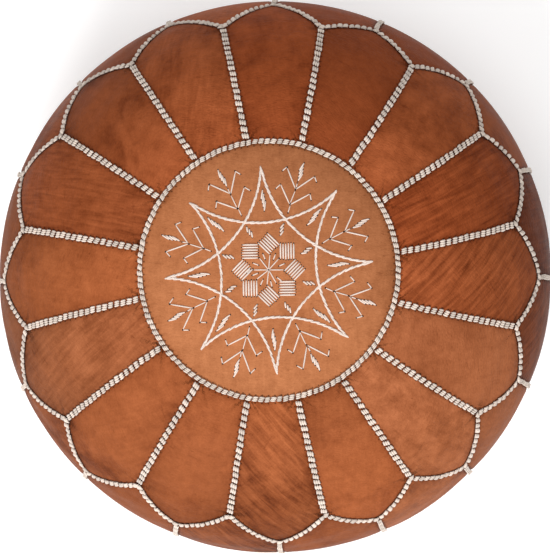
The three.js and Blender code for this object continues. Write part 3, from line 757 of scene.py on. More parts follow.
def addGrainMap(obj, across, along, turn, shift):
    mesh = obj.data
    cos, sin = math.cos(turn), math.sin(turn)
    uv = np.stack([across * cos - along * sin + shift[0], across * sin + along * cos + shift[1]], -1)
    uv = np.concatenate([uv.reshape(-1, 2)] * 2)
    corners = np.empty(len(mesh.loops), int)
    mesh.loops.foreach_get("vertex_index", corners)
    mesh.uv_layers.new(name="grain").data.foreach_set("uv", uv[corners].ravel())


# What the leather's material reads at each point: its dye, its character and its nearest seam
def leatherMarks(dye, character, distance, along):
    count = distance.size
    colour = np.ones((count, 4))
    colour[:, :3] = dye
    return {
        "dye": colour,
        "character": np.tile(character, (count, 1)),
        "seam": np.stack([distance.ravel(), along.ravel(), np.zeros(count)], -1),
    }


def leatherPanel(name, place, level, distance, along, look, strength, slotName, replaced):
    s = stationOf(place, level)
    middle = place.mean()
    angle = placeAngle(place, s)
    r = outlineAt(s)[0]
    # half the seam's gap at each side
    share = (place - place.min()) / (place.max() - place.min())
    angle = angle + leather["seamGap"] / r * (1 - 2 * share)
    dip = leather["edgeDip"] * np.exp(-(distance / leather["edgeReach"]) ** 2)
    calm = 1 - np.exp(-(distance / leather["calmReach"]) ** 2)
    lift = fieldAt(place, level) - dip + leather["lump"] * calm * lumpiness(angle, s)
    marks = leatherMarks(dyes[look[0]] * strength.reshape(-1, 1), look[3:6], distance, along)
    outer, inner = coverPoint(angle, s, lift), coverPoint(angle, s, lift - leather["thickness"])
    obj = sheetObject(name, outer, inner, marks)
    across = (place - middle) * wedge * r
    addGrainMap(obj, across, s, math.radians(look[6]), random.uniform(0, 3, 2))
    return finishPiece(obj, leatherLooks[slotName], replaced)


panel = {"across": 34, "petalRows": 46, "sideRows": 70, "inset": 1e-6}


# Points of one panel, from its first seam to the next, kept just inside them
def panelGrid(first, firstLevel, rows):
    place, level = np.meshgrid(first + clustered(panel["across"]), firstLevel + clustered(rows))
    return np.clip(place, first + panel["inset"], first + 1 - panel["inset"]), level


for k, look in enumerate(petalLooks):
    place, level = panelGrid(k + 1, 0, panel["petalRows"])
    distance, along = petalDistance(place, level)
    strength = look[1] + (look[2] - look[1]) * level
    leatherPanel(
        f"petalLeather{k + 1:02d}", place, level, distance, along, look, strength,
        petalSlots[k], [f"petal_{k + 1:02d}"],
    )
    # the side panel between this petal and the one before it
    place, level = panelGrid(k + 0.5, 1, panel["sideRows"])
    distance, along = sideDistance(place, level)
    strength = (0.9 * look[2] - 0.15 * (level - 1)) * sideShades[k]
    leatherPanel(
        f"sideLeather{k + 1:02d}", place, level, distance, along, look, strength,
        petalSlots[k], [f"side_panel_{k + 1:02d}"],
    )
print("panels ready")


# Roundel

roundel = {
    "middleRings": 36, "rimRings": 8, "columns": 128, "lump": 0.35 * mm, "lumpReach": 40 * mm,
    "dye": linear(168, 105, 67), "character": (0.15, 0.3, 0.25),
    "paintedShadeSide": math.radians(52), "darker": 0.24,
}


def roundelLift(angle, s):
    return roundel["lump"] * (lumpiness(angle, s) * np.minimum(s / roundel["lumpReach"], 1))


def makeRoundel():
    columns = roundel["columns"]
    middle, rim = np.linspace(0.02, 0.92, roundel["middleRings"]), np.linspace(0.93, 1, roundel["rimRings"])
    rings = np.concatenate([middle, rim]) * (roundelEdge[0] - leather["seamGap"])
    s, angle = np.meshgrid(rings, np.arange(columns) * 2 * math.pi / columns, indexing="ij")
    distance = roundelEdge[0] - s
    dip = leather["edgeDip"] * np.exp(-(distance / leather["edgeReach"]) ** 2)
    lift = roundelLift(angle, s) - dip
    outer, inner = coverPoint(angle, s, lift), coverPoint(angle, s, lift - leather["thickness"])
    # the middle is closed by a fan on each side
    crown = [[0, 0, roundelHigh.z], [0, 0, roundelHigh.z - leather["thickness"]]]
    points = np.concatenate([outer.reshape(-1, 3), inner.reshape(-1, 3), crown])
    count = s.size
    last = count - columns
    faces = gridFaces(len(rings), columns, 0, True).tolist()
    faces += gridFaces(len(rings), columns, count, True, flipped=True).tolist()
    for a in range(columns):
        b = (a + 1) % columns
        faces += [[2 * count, a, b], [2 * count + 1, count + b, count + a]]
        faces.append([last + b, last + a, count + last + a, count + last + b])
    # painted shade: the roundel's dye is made darker towards one side, standing in for less light falling
    # there
    side = roundel["paintedShadeSide"]
    toSide = points[:, 0] * math.cos(side) + points[:, 1] * math.sin(side)
    tone = 1 - roundel["darker"] * np.clip(toSide / roundelRadius + 0.1, 0, 1)
    distance = np.concatenate([distance.ravel(), distance.ravel(), [roundelRadius] * 2])
    along = np.concatenate([(angle * roundelRadius).ravel()] * 2 + [[0, 0]])
    marks = leatherMarks(roundel["dye"] * tone[:, None], roundel["character"], distance, along)
    obj = plainMesh("roundelLeather", points.tolist(), faces, marks)
    mesh = obj.data
    mesh.set_sharp_from_angle(angle=math.radians(50))
    corners = np.empty(len(mesh.loops), int)
    mesh.loops.foreach_get("vertex_index", corners)
    mesh.uv_layers.new(name="grain").data.foreach_set("uv", points[corners][:, :2].ravel())
    return finishPiece(obj, leatherLooks["leather_roundel"], ["roundel"])


makeRoundel()


# Seam lacing

lace = {
    "pitch": stitchPitch, "ringPitch": 6.0 * mm, "strand": 5.4 * mm, "spacing": 2.0 * mm,
    "halfWidth": 1.1 * mm, "halfHeight": 1.1 * mm, "lift": 0.45 * mm, "lean": math.radians(17),
    "bow": 0.9 * mm, "sink": 0.35 * mm, "narrow": 0.8, "ringPoints": 256, "archPoints": 24,
    "radialPoints": 24, "sidePoints": 40, "offRing": 7 * mm, "offNotch": 6 * mm,
    "offArch": 6.5 * mm, "offBase": 3 * mm,
}


# Three short plump strands side by side, along X
def laceStitch():
    sides = 7
    share = np.array([0, 0.12, 0.32, 0.68, 0.88, 1])
    girth = np.array([0.35, 0.8, 1, 1, 0.8, 0.35])
    turn = np.arange(sides) * 2 * math.pi / sides
    points, faces, along, around = [], [], [], []
    for strand in (-1, 0, 1):
        start = len(points)
        across = strand * lace["spacing"]
        for t, g in zip(share, girth):
            x = (t - 0.5) * lace["strand"] + across * math.tan(lace["lean"])
            height = lace["lift"] + lace["bow"] * (1 - (2 * t - 1) ** 2) - lace["sink"]
            for a in turn:
                y = across + g * lace["halfWidth"] * math.cos(a)
                points.append((x, y, height + g * lace["halfHeight"] * math.sin(a)))
                along.append(x + strand * 0.7 * mm)
                around.append(a / (2 * math.pi))
        faces += gridFaces(len(share), sides, start, True, flipped=True).tolist()
        faces.append([start + i for i in range(sides)][::-1])
        faces.append([start + (len(share) - 1) * sides + i for i in range(sides)])
    return plainMesh("laceStitch", points, faces, {"along": along, "around": around})


# Lines to lay stitches along, as lists of points with the way off the leather at each point
def guideObject(name, lines, extra=()):
    points, edges, ups, start = [], [], [], 0
    values = {key: [] for key in extra}
    for line in lines:
        count = len(line["points"])
        points.append(line["points"])
        ups.append(line["up"])
        for key in extra:
            values[key].append(line[key])
        run = np.arange(start, start + count)
        edges.append(np.stack([run[:-1], run[1:]], -1))
        if line.get("closed"):
            edges.append(np.array([[run[-1], run[0]]]))
        start += count
    attributes = {"up": np.concatenate(ups), **{key: np.concatenate(values[key]) for key in extra}}
    return meshObject(name, np.concatenate(points), [], attributes, np.concatenate(edges).tolist())


def stitchTree():
    tree, given, result = growthTree(
        "stitchesAlongSeams", Stitch=("Object", None), Pitch=("Float", lace["pitch"]),
        Width=("Float", 1.0), Seed=("Int", 1),
    )
    curve = addNode(tree, "GeometryNodeMeshToCurve", {"Mesh": given["Geometry"]}).outputs[0]
    inputs = {"Curve": curve, "Length": given["Pitch"]}
    spaced = addNode(tree, "GeometryNodeResampleCurve", inputs, mode="LENGTH").outputs[0]
    tangent = addNode(tree, "GeometryNodeInputTangent").outputs[0]
    axes = {0: storedOnPoints(tree, "up", "FLOAT_VECTOR"), 1: tangent}
    turned = addNode(tree, "FunctionNodeAxesToRotation", axes, primary_axis="Z", secondary_axis="X")
    placed = addNode(tree, "GeometryNodeInstanceOnPoints", {
        "Points": spaced, "Instance": objectGeometry(tree, given["Stitch"]), "Rotation": turned.outputs[0],
    }).outputs[0]

    # every stitch is shifted, turned and sized a little by hand
    def uneven(low, high, shift):
        return randomValue(tree, low, high, calc(tree, "ADD", given["Seed"], float(shift)))

    def eitherWay(most, shift):
        return uneven(tuple(-value for value in most), most, shift)

    shifts = eitherWay((0.25 * mm, 0.3 * mm, 0.15 * mm), 1)
    moved = addNode(tree, "GeometryNodeTranslateInstances", {
        "Instances": placed, "Translation": shifts, "Local Space": True,
    }).outputs[0]
    twisted = addNode(tree, "GeometryNodeRotateInstances", {
        "Instances": moved, "Rotation": eitherWay((0.07, 0.07, 0.16), 2), "Local Space": True,
    }).outputs[0]
    narrowed = combined(tree, 1.0, given["Width"], 1.0)
    sizes = vectorCalc(tree, "MULTIPLY", uneven((0.9, 0.9, 0.85), (1.06, 1.08, 1.12), 3), narrowed)
    scaled = addNode(tree, "GeometryNodeScaleInstances", {
        "Instances": twisted, "Scale": sizes, "Local Space": True,
    }).outputs[0]
    return finishTree(tree, given, result, marked(tree, scaled, "tone", uneven(0.8, 1.08, 4), "INSTANCE"))


# Runs a node tree on a guide and keeps the result as a plain mesh
def grown(guide, tree, settings, name):
    modifier = guide.modifiers.new("growth", "NODES")
    modifier.node_group = tree
    for socket in tree.interface.items_tree:
        if socket.in_out == "INPUT" and socket.name in settings:
            modifier[socket.identifier] = settings[socket.name]
    depsgraph = bpy.context.evaluated_depsgraph_get()
    mesh = bpy.data.meshes.new_from_object(guide.evaluated_get(depsgraph))
    mesh.name = name
    bpy.data.objects.remove(guide)
    return addObject(name, mesh)


def coverLine(place, s, closed=False, angle=None):
    angle = placeAngle(place, s) if angle is None else angle
    return {"points": coverPoint(angle, s), "up": coverNormal(angle, s), "closed": closed}


def makeLacing():
    stitch = laceStitch()
    tree = stitchTree()
    around = np.arange(lace["ringPoints"]) / lace["ringPoints"]
    ring = coverLine(None, np.full(lace["ringPoints"], roundelEdge[0]), True, around * 2 * math.pi)
    archPlaces = 1 + np.arange(petals * lace["archPoints"]) / lace["archPoints"]
    arches = coverLine(archPlaces, archAt(archPlaces), True)
    radials, sides = [], []
    ringEnd, baseEnd = roundelEdge[0] + lace["offRing"], baseEdge[0] - lace["offBase"]
    for k in range(petals):
        s = np.linspace(ringEnd, notchStations[k] - lace["offNotch"], lace["radialPoints"])
        radials.append(coverLine(np.full(len(s), k + 1.0), s))
        s = np.linspace(archStations[k] + lace["offArch"], baseEnd, lace["sidePoints"])
        sides.append(coverLine(np.full(len(s), k + 1.5), s))
    pitch, narrow = lace["pitch"], lace["narrow"]
    topParts = [("ring", [ring], lace["ringPitch"], narrow), ("radial", radials, pitch, 1)]
    sideParts = [("arch", [arches], pitch, narrow), ("side", sides, pitch, narrow)]
    runs = [("topLacing", "top_lacing", topParts), ("sideLacing", "side_lacing", sideParts)]
    for name, node, parts in runs:
        made = []
        for seed, (label, lines, pitch, width) in enumerate(parts):
            settings = {
                "Stitch": stitch, "Pitch": pitch, "Width": width, "Seed": 11 + 7 * seed,
                "Material": lacingThread,
            }
            guide = guideObject(f"{label}Guide", lines)
            made.append(grown(guide, tree, settings, name if not made else f"{name}Part"))
        with bpy.context.temp_override(active_object=made[0], selected_editable_objects=made):
            bpy.ops.object.join()
        finishPiece(made[0], None, [node])
        print(name, len(made[0].data.polygons), "faces")
    bpy.data.objects.remove(stitch)


makeLacing()


# Embroidery

star = {
    "tip": 101 * mm, "waist": 46 * mm, "turn": math.radians(4.3), "width": 2.15 * mm,
    "stitch": 10 * mm, "advance": 6.4 * mm, "shortest": 2 * mm,
}


def domePoint(x, y, lift=0):
    angle = np.arctan2(y, x)
    radius = arcs[0]["radius"]
    s = radius * np.arcsin(np.clip(np.hypot(x, y) / radius, 0, 1))
    return coverPoint(angle, s, lift + roundelLift(angle, s)), coverNormal(angle, s)


# Each leaf: its inner and outer end, its half width and its number of strands
leaves = {
    "star": (57 * mm, 78 * mm, 1.9 * mm, 4), "between": (35 * mm, 47 * mm, 1.8 * mm, 3),
    "tree": (90.5 * mm, 109 * mm, 2 * mm, 4), "strand": 1.7 * mm, "high": 0.7 * mm, "overlap": 0.46,
}
treeSewn = {
    "stem": ((58 * mm, 66 * mm), (67.5 * mm, 81 * mm), (83.5 * mm, 88.5 * mm)), "stemWidth": 1.1 * mm,
    "branches": ((66.5 * mm, 82 * mm, 15 * mm), (82 * mm, 100 * mm, 14 * mm)), "branchWidth": 1.45 * mm,
    "hook": (5.2 * mm, 3.4 * mm), "hookWidth": 1.2 * mm,
}
square = {
    "out": 25.4 * mm, "half": 8 * mm, "strands": 6, "spacing": 2.55 * mm, "skew": 0.2 * mm,
    "strand": 1.7 * mm, "high": 0.75 * mm,
}
asterisk = {"length": 15 * mm, "width": 1.15 * mm, "turns": (85, 48, 0, -60, -96, -142, 180, 128)}
ticks = {
    "from": 10.5 * mm, "to": 16.8 * mm, "slant": 0.5 * mm, "width": 1.2 * mm,
    "turns": (108, 65, 20, -42, -80, -120, -163, 155),
}
tuft = {"ends": 6, "middle": (-19.5 * mm, 0), "spread": 1.2, "length": 2.6, "width": 1 * mm, "high": 0.9 * mm}


# One strand of thread over the leather, through the points of a path, sinking in at its ends
def strand(path, width, tone=1.0, high=0.45 * mm):
    path = np.asarray(path, float)
    steps = 7
    ends = np.linspace(0, 1, len(path))
    t = np.linspace(0, 1, steps)
    x, y = np.interp(t, ends, path[:, 0]), np.interp(t, ends, path[:, 1])
    bow = np.sin(math.pi * t) ** 0.35
    points, up = domePoint(x, y, high * bow - 0.25 * mm)
    length = np.hypot(*(path[-1] - path[0]))
    return {
        "points": points, "up": up, "radius": 0.5 * width * (0.45 + 0.55 * bow),
        "along": t * length + random.uniform(0, 2 * mm), "tone": np.full(steps, tone), "path": path,
    }


def threadTree():
    tree, given, result = growthTree("threadFromLines", Sides=("Int", 6))
    curve = addNode(tree, "GeometryNodeMeshToCurve", {"Mesh": given["Geometry"]}).outputs[0]
    radius = storedOnPoints(tree, "radius")
    sized = addNode(tree, "GeometryNodeSetCurveRadius", {"Curve": curve, "Radius": radius}).outputs[0]
    inputs = {"Resolution": given["Sides"], "Radius": 1.0}
    circle = addNode(tree, "GeometryNodeCurvePrimitiveCircle", inputs).outputs[0]
    turn = addNode(tree, "GeometryNodeSplineParameter").outputs["Factor"]
    tube = addNode(tree, "GeometryNodeCurveToMesh", {
        "Curve": sized, "Profile Curve": marked(tree, circle, "around", turn, "POINT"),
        "Scale": radius, "Fill Caps": True,
    }).outputs[0]
    return finishTree(tree, given, result, addNode(tree, "GeometryNodeSetShadeSmooth", {0: tube}).outputs[0])


def turnedBy(direction, out, sideways):
    cos, sin = math.cos(direction), math.sin(direction)
    return (out * cos - sideways * sin, out * sin + sideways * cos)


def starStrands():
    tip, waist = star["tip"], star["waist"]
    centre = (tip ** 2 - waist ** 2) / 2 / (tip * math.sqrt(0.5) - waist)
    radius = centre - waist
    half = math.asin(tip * math.sqrt(0.5) / radius)
    stitch, advance = star["stitch"] / radius, star["advance"] / radius
    strands = []
    for k in range(8):
        out = star["turn"] + math.radians(45) * (k + 1)
        place = -half
        while place < half - star["shortest"] / radius:
            end = min(place + stitch * random.uniform(0.9, 1.12), half)
            slant = random.uniform(0.6, 1) * mm
            path = []
            for t, shift in zip(np.linspace(place, end, 4), np.linspace(slant, -slant, 4)):
                angle, r = out + t, radius + shift
                x = centre * math.cos(out) - r * math.cos(angle)
                path.append((x, centre * math.sin(out) - r * math.sin(angle)))
            width = star["width"] * random.uniform(0.85, 1.05)
            strands.append(strand(path, width, random.uniform(0.88, 1.05)))
            place += advance * random.uniform(0.9, 1.1)
    return strands


# Overlapping straight strands that make a leaf, from one radius to another
def leafStrands(direction, inner, outer, halfWidth, count):
    strands = []
    length = outer - inner
    reach = length * leaves["overlap"]
    for i in range(count):
        t = i / (count - 1)
        start = inner + length * (1 - leaves["overlap"]) * t
        side = (t - 0.5) * halfWidth
        path = [
            turnedBy(direction, start, side + halfWidth * random.uniform(0.4, 0.6)),
            turnedBy(direction, start + reach, side - halfWidth * random.uniform(0.4, 0.6)),
        ]
        strands.append(strand(path, leaves["strand"], random.uniform(0.9, 1.05), high=leaves["high"]))
    return strands


def treeStrands(direction):
    strands = []

    def line(a, b, width):
        wobble = random.uniform(-0.5, 0.5, 4) * mm
        start = turnedBy(direction, a[0] + wobble[0], a[1] + wobble[1])
        end = turnedBy(direction, b[0] + wobble[2], b[1] + wobble[3])
        strands.append(strand([start, end], width, random.uniform(0.9, 1.02)))

    for root, out in treeSewn["stem"]:
        line((root, 0), (out, 0), treeSewn["stemWidth"])
    back, aside = treeSewn["hook"]
    for root, out, side in treeSewn["branches"]:
        for hand in (-1, 1):
            line((root, 0), (out, hand * side), treeSewn["branchWidth"])
            line((out, hand * side), (out - back, hand * (side + aside)), treeSewn["hookWidth"])
    return strands + leafStrands(direction, *leaves["tree"])


def squareStrands(position, direction):
    strands = []
    half = square["half"]
    for i in range(square["strands"]):
        side = (i - (square["strands"] - 1) / 2) * square["spacing"]
        jitter = random.uniform(-0.4, 0.4, 2) * mm
        ends = [(-half + jitter[0], side), (half + jitter[1], side + square["skew"])]
        path = [np.array(position) + turnedBy(direction, *end) for end in ends]
        strands.append(strand(path, square["strand"], random.uniform(0.92, 1.05), high=square["high"]))
    return strands


# A dark disc sunk in the leather where a thread goes through, at both ends of each strand: painted shade of
# the needle hole
def holeTree():
    tree, given, result = growthTree("needleHoles", Hole=("Object", None), Seed=("Int", 5))
    placed = addNode(tree, "GeometryNodeInstanceOnPoints", {
        "Points": addNode(tree, "GeometryNodeMeshToPoints", {"Mesh": given["Geometry"]}).outputs[0],
        "Instance": objectGeometry(tree, given["Hole"]),
        "Scale": randomValue(tree, (0.75, 0.75, 1), (1.25, 1.25, 1), given["Seed"]),
    }).outputs[0]
    return finishTree(tree, given, result, placed)


def makeHoles(strands):
    sides, radius, depth = 8, 0.8 * mm, 0.16 * mm
    turn = np.arange(sides) * 2 * math.pi / sides
    levels = ((radius, -depth), (radius * 0.85, depth))
    rings = [(r * math.cos(a), r * math.sin(a), z) for r, z in levels for a in turn]
    faces = gridFaces(2, sides, 0, True, flipped=True).tolist()
    faces += [list(range(sides))[::-1], list(range(sides, 2 * sides))]
    hole = plainMesh("needleHole", rings, faces, {})
    ends = np.array([end for line in strands for end in (line["path"][0], line["path"][-1])])
    points, _ = domePoint(ends[:, 0], ends[:, 1], 0.05 * mm)
    guide = meshObject("holeGuide", points, [])
    dark, _, shader = newMaterial("needleHoleShadow", Roughness=0.9)
    shader.inputs["Base Color"].default_value = (*linear(38, 20, 12), 1)
    piece = grown(guide, holeTree(), {"Hole": hole, "Seed": 5, "Material": dark}, "needleHoles")
    bpy.data.objects.remove(hole)
    finishPiece(piece, None)


def embroider():
    threads = threadTree()
    groups = {"starThread": (starStrands(), ["embroidered_star"])}
    for k in range(8):
        direction = star["turn"] + math.radians(45) * (k + 0.5)
        groups[f"treeThread{k + 1}"] = (treeStrands(direction), [f"embroidered_tree_{k + 1}"])
    leafThread, squareThread, middleThread = [], [], []
    for k in range(8):
        out = star["turn"] + math.radians(45 * k)
        leafThread += leafStrands(out, *leaves["star"])
        leafThread += leafStrands(out + math.radians(22.5), *leaves["between"])
        angle = math.radians(45 * k)
        position = (square["out"] * math.cos(angle), square["out"] * math.sin(angle))
        squareThread += squareStrands(position, angle + math.radians(45))
    for degrees in asterisk["turns"]:
        end = turnedBy(math.radians(degrees), asterisk["length"], 0)
        middleThread.append(strand([(0, 0), end], asterisk["width"], high=0.55 * mm))
    for degrees in ticks["turns"]:
        angle = math.radians(degrees)
        path = [turnedBy(angle, ticks["from"], 0), turnedBy(angle, ticks["to"], ticks["slant"])]
        middleThread.append(strand(path, ticks["width"]))
    # a small tuft of thread ends beside the square on the left
    for _ in range(tuft["ends"]):
        start = np.array(tuft["middle"]) + random.uniform(-tuft["spread"], tuft["spread"], 2) * mm
        end = start + random.uniform(-tuft["length"], tuft["length"], 2) * mm
        middleThread.append(strand([start, end], tuft["width"], random.uniform(0.8, 1), high=tuft["high"]))
    pierced = leafThread + squareThread + middleThread
    for k in range(8):
        pierced += groups[f"treeThread{k + 1}"][0]
    makeHoles(pierced)
    groups["leafThread"] = (leafThread, [])
    groups["squareThread"] = (squareThread, [])
    groups["middleThread"] = (middleThread, [])
    for name, (strands, nodes) in groups.items():
        guide = guideObject(f"{name}Guide", strands, ("radius", "along", "tone"))
        piece = grown(guide, threads, {"Material": fineThread}, name)
        finishPiece(piece, None, nodes)


embroider()
print("embroidery ready")


# Base, zip and linings

base = {
    "rimLift": 2.45 * mm, "rimShare": 0.955, "blend": 32 * mm, "lump": 0.25 * mm,
    "rows": 34, "columns": 60,
}


# Each half's straight edge is lifted to the zip, and its round edge to the side panels
def makeBase():
    low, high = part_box("base_panel_left")
    radius = high.x
    opening = min(abs(low.y), abs(high.y))
    edgeLift = high.z - leather["cadThickness"]
    corner = math.asin(4 * opening / radius)
    edgeEnd = math.sqrt(radius ** 2 - opening ** 2)
    for hand, label in ((1, "left"), (-1, "right")):
        share, out = np.meshgrid(
            hand * (2 * clustered(base["columns"]) - 1), np.linspace(0, 1, base["rows"]) ** 1.3,
        )
        angle = math.pi / 2 - share * (math.pi / 2 - corner)
        x = (1 - out) * share * edgeEnd + out * radius * np.cos(angle)
        y = (1 - out) * opening + out * radius * np.sin(angle)
        t = np.clip((y - opening) / base["blend"], 0, 1)
        drawn = edgeLift * (1 - t * t * (3 - 2 * t))
        reach = np.hypot(x, y)
        rim = np.clip((reach / radius - base["rimShare"]) / (1 - base["rimShare"]), 0, 1)
        z = np.maximum(drawn, base["rimLift"] * rim ** 2)
        z = z + base["lump"] * (1 + lumpiness(np.arctan2(y, x), reach)) * (1 - rim)
        points = np.stack([x, hand * y, z], -1)
        above = points + [0, 0, leather["thickness"]]
        distance = np.minimum(radius - reach, y - opening)
        marks = leatherMarks(dyes["russet"] * 0.8, (0.1, 0.6, 0.4), distance + 9 * mm, x)
        obj = sheetObject(f"baseLeather{label.title()}", above, points, marks)
        addGrainMap(obj, x, y, 0.3, random.uniform(0, 3, 2))
        finishPiece(obj, leatherLooks["leather_base"], [f"base_panel_{label}"])


makeBase()


# Closed loop of [radius, height] points turned round the axis, with gentle lumps
def turnedPiece(name, profile, columns, material, node, bulge):
    profile = np.asarray(profile)
    angle = np.arange(columns) * 2 * math.pi / columns
    rows = len(profile)
    r = np.repeat(profile[:, :1], columns, 1)
    z = np.repeat(profile[:, 1:], columns, 1)
    a = np.repeat(angle[None], rows, 0)
    swell = bulge * (lumpiness(a, z + r) - 1) * np.clip(r / (60 * mm), 0, 1)
    r = np.maximum(r + swell, 0.05 * mm)
    points = np.stack([r * np.cos(a), r * np.sin(a), z], -1).reshape(-1, 3)
    faces = gridFaces(rows, columns, 0, True).tolist()
    if profile[0, 0] < 1 * mm:
        faces.append(list(range(columns)))
        faces.append(list(range((rows - 1) * columns, rows * columns))[::-1])
    else:
        last = (rows - 1) * columns
        faces += [[last + i, i, (i + 1) % columns, last + (i + 1) % columns] for i in range(columns)]
    obj = plainMesh(name, points.tolist(), faces, {})
    return finishPiece(obj, material, [node])


# The way a lining follows the cover, from the middle of the top down to its floor
def liningPath(lift, floor, top):
    s = np.linspace(0, baseEdge[0], 90)
    points = coverPoint(np.zeros_like(s), s, lift)
    path = [(p[0], p[2]) for p in points if p[2] > floor + 0.4 * mm]
    path[0] = (0.2 * mm, top)
    return path


lining = {"thickness": 1.2 * mm, "mouth": 45 * mm, "turnIn": 6 * mm, "floorPoint": 120 * mm, "columns": 120}


# A lining's path with its flat floor, ending at the given radius
def closedPath(depth, floor, top, end):
    path = liningPath(-depth, floor, top)
    return path + [(path[-1][0] - lining["turnIn"], floor), (lining["floorPoint"], floor), (end, floor)]


def makeLinings():
    linerLow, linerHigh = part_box("liner_bag")
    fillLow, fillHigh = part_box("filling")
    depth, wall = roundelHigh.z - linerHigh.z, lining["thickness"]
    outside = closedPath(depth, linerLow.z, linerHigh.z, lining["mouth"])
    inside = closedPath(depth + wall, linerLow.z + wall, linerHigh.z - wall, lining["mouth"])
    filling = closedPath(roundelHigh.z - fillHigh.z, fillLow.z, fillHigh.z, 0.2 * mm)
    columns = lining["columns"]
    turnedPiece("linerBag", outside + inside[::-1], columns, linerCotton, "liner_bag", 0)
    piece = turnedPiece("fibreFilling", filling, columns, fillingFibre, "filling", 0.8 * mm)


makeLinings()


zipLook = {
    "toothPitch": 4 * mm, "toothWidth": 1.75 * mm, "toothTilt": 0.03, "toothPlay": 0.1 * mm,
    "tapeInset": 0.1 * mm, "tapeWave": 0.08 * mm, "patchRise": 0.35 * mm, "patchEdge": 1.4 * mm,
}


def makeTapes():
    for label in ("left", "right"):
        low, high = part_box(f"zip_tape_{label}")
        x, y = np.meshgrid(np.linspace(low.x, high.x, 90), np.linspace(low.y, high.y, 9), indexing="ij")
        wave = zipLook["tapeWave"] * np.sin(x * 120) * np.sin(y * 300)
        top = np.stack([x, y, high.z - zipLook["tapeInset"] + wave], -1)
        bottom = np.stack([x, y, low.z + zipLook["tapeInset"] + wave], -1)
        obj = sheetObject(f"zipTape{label.title()}", top, bottom, {}, faceUp=-1)
        finishPiece(obj, tapeCloth, [f"zip_tape_{label}"])


# One tooth with a waist and a rounded head; it lies along Y, from the tape's side to the middle
def toothMesh(length, thickness):
    half = zipLook["toothWidth"] / 2
    sections = [
        (0, 0.72, 0.8), (0.12, 0.9, 1), (0.45, 0.9, 1), (0.6, 0.7, 0.9),
        (0.72, 1, 0.94), (0.92, 1, 0.9), (1, 0.6, 0.6),
    ]
    points, sides = [], 8
    for share, wide, high in sections:
        for i in range(sides):
            a = (i + 0.5) * 2 * math.pi / sides
            x = half * wide * max(-1, min(1, 1.35 * math.cos(a)))
            z = thickness / 2 * high * max(-1, min(1, 1.35 * math.sin(a)))
            points.append((x, share * length, z))
    faces = gridFaces(len(sections), sides, 0, True).tolist()
    faces.append(list(range(sides)))
    faces.append([(len(sections) - 1) * sides + i for i in range(sides)][::-1])
    return plainMesh("zipTooth", points, faces, {})


def teethTree():
    tree, given, result = growthTree(
        "teethAlongTape", Tooth=("Object", None), Hand=("Float", 1.0), Seed=("Int", 3),
    )
    half = calc(tree, "MULTIPLY", calc(tree, "ADD", given["Hand"], 1.0), math.pi / 2)
    tilt = randomValue(tree, -zipLook["toothTilt"], zipLook["toothTilt"], given["Seed"])
    turn = combined(tree, 0.0, 0.0, calc(tree, "ADD", half, tilt))
    placed = addNode(tree, "GeometryNodeInstanceOnPoints", {
        "Points": addNode(tree, "GeometryNodeMeshToPoints", {"Mesh": given["Geometry"]}).outputs[0],
        "Instance": objectGeometry(tree, given["Tooth"]),
        "Rotation": addNode(tree, "FunctionNodeEulerToRotation", {0: turn}).outputs[0],
    }).outputs[0]
    return finishTree(tree, given, result, placed)


def makeTeeth():
    tree = teethTree()
    for hand, label in ((1, "left"), (-1, "right")):
        low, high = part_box(f"zip_teeth_{label}")
        root = high.y if hand > 0 else low.y
        tooth = toothMesh(high.y - low.y - zipLook["toothPlay"], high.z - low.z - zipLook["toothPlay"])
        shift = 0 if hand > 0 else zipLook["toothPitch"] / 2
        start = low.x + zipLook["toothWidth"]
        x = np.arange(start + shift, high.x - zipLook["toothWidth"], zipLook["toothPitch"])
        level = np.full_like(x, (low.z + high.z) / 2)
        guide = meshObject(f"teethGuide{label}", np.stack([x, np.full_like(x, root), level], -1), [])
        settings = {"Tooth": tooth, "Hand": float(hand), "Seed": 3 + hand, "Material": brass}
        piece = grown(guide, tree, settings, f"zipTeeth{label.title()}")
        bpy.data.objects.remove(tooth)
        finishPiece(piece, None, [f"zip_teeth_{label}"])


# Leather patches over the zip's ends, following the CAD's slope down to the floor
def makePatches():
    for label in ("front", "back"):
        node = f"zip_end_patch_{label}"
        points = nodePoints(node)
        low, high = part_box(node)
        along = np.unique(np.round(points[:, 0], 5))
        upper = [points[np.abs(points[:, 0] - x) < 1e-4, 2].max() for x in along]
        lower = [points[np.abs(points[:, 0] - x) < 1e-4, 2].min() for x in along]
        u, v = np.meshgrid(clustered(30), clustered(18), indexing="ij")
        x = low.x + (high.x - low.x) * u
        y = low.y + (high.y - low.y) * v
        toEnd, toSide = np.minimum(u, 1 - u) * (high.x - low.x), np.minimum(v, 1 - v) * (high.y - low.y)
        edge = np.minimum(toEnd, toSide)
        dip = zipLook["patchRise"] * np.exp(-(edge / zipLook["patchEdge"]) ** 2)
        top = np.stack([x, y, np.interp(x, along, upper) - dip], -1)
        bottom = np.stack([x, y, np.interp(x, along, lower) + dip], -1)
        marks = leatherMarks(dyes["chestnut"] * 0.9, (0.1, 0.5, 0.3), edge + 6 * mm, x)
        obj = sheetObject(f"zipPatch{label.title()}", top, bottom, marks, faceUp=-1)
        addGrainMap(obj, x, y, 0.2, random.uniform(0, 3, 2))
        finishPiece(obj, leatherLooks["leather_base"], [node])


makeTapes()
makeTeeth()
makePatches()

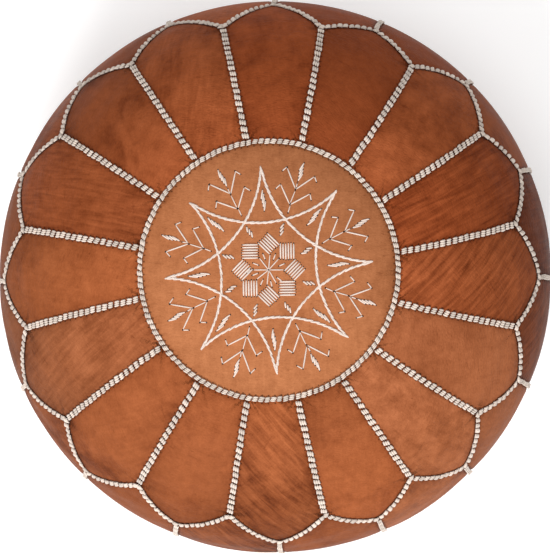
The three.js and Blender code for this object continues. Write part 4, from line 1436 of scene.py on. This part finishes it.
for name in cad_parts:
    if name.startswith("zip_slider") or name.startswith("zip_pull") or "stop" in name:
        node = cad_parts[name]
        node.data.materials.clear()
        node.data.materials.append(brass)
print("base and zip ready")


# Light, floor and camera

view = {
    "lens": 300, "distance": 4.6, "leanX": math.radians(2.3), "leanY": math.radians(2.4),
    "target": Vector((0, 0, equator[2])),
}
studio = {
    "floorColour": (0.95, 0.95, 0.95, 1), "floorSize": 12, "world": 0.62,
    "keyLight": ((-0.6, -2.3, 2.1), 1.6, 84), "topLight": ((0.2, 0.1, 3.2), 2.2, 30),
}
floorMaterial, _, floorShader = newMaterial("paleFloor", **{"Roughness": 0.8, "Emission Strength": 0.22})
for socket in ("Base Color", "Emission Color"):
    floorShader.inputs[socket].default_value = studio["floorColour"]
bpy.ops.mesh.primitive_plane_add(size=studio["floorSize"], location=(0, 0, 0))
floor = bpy.context.object
floor.name = "floor"
floor.data.materials.append(floorMaterial)

world = bpy.data.worlds.new("studio")
scene.world = world
world.use_nodes = True
background = world.node_tree.nodes["Background"]
background.inputs[0].default_value, background.inputs[1].default_value = (1, 1, 1, 1), studio["world"]


def areaLight(name, place, size, power):
    light = bpy.data.lights.new(name, "AREA")
    light.shape, light.size, light.energy = "DISK", size, power
    obj = addObject(name, light)
    obj.location = place
    obj.rotation_mode = "QUATERNION"
    obj.rotation_quaternion = (Vector(place) - Vector((0, 0, 0.15))).to_track_quat("Z", "Y")
    return obj


for name in ("keyLight", "topLight"):
    areaLight(name, *studio[name])

camera = bpy.data.cameras.new("camera")
camera.lens, camera.sensor_width, camera.sensor_fit = view["lens"], 36, "AUTO"
camera.dof.use_dof = False
cameraObject = addObject("camera", camera)
back = Vector((math.tan(view["leanX"]), -math.tan(view["leanY"]), 1)).normalized()
right = Vector((0, 1, 0)).cross(back).normalized()
up = back.cross(right)
rotation = Matrix((right, up, back)).transposed().to_4x4()
cameraObject.matrix_world = Matrix.Translation(view["target"] + back * view["distance"]) @ rotation
scene.camera = cameraObject
scene.view_settings.view_transform = "Standard"
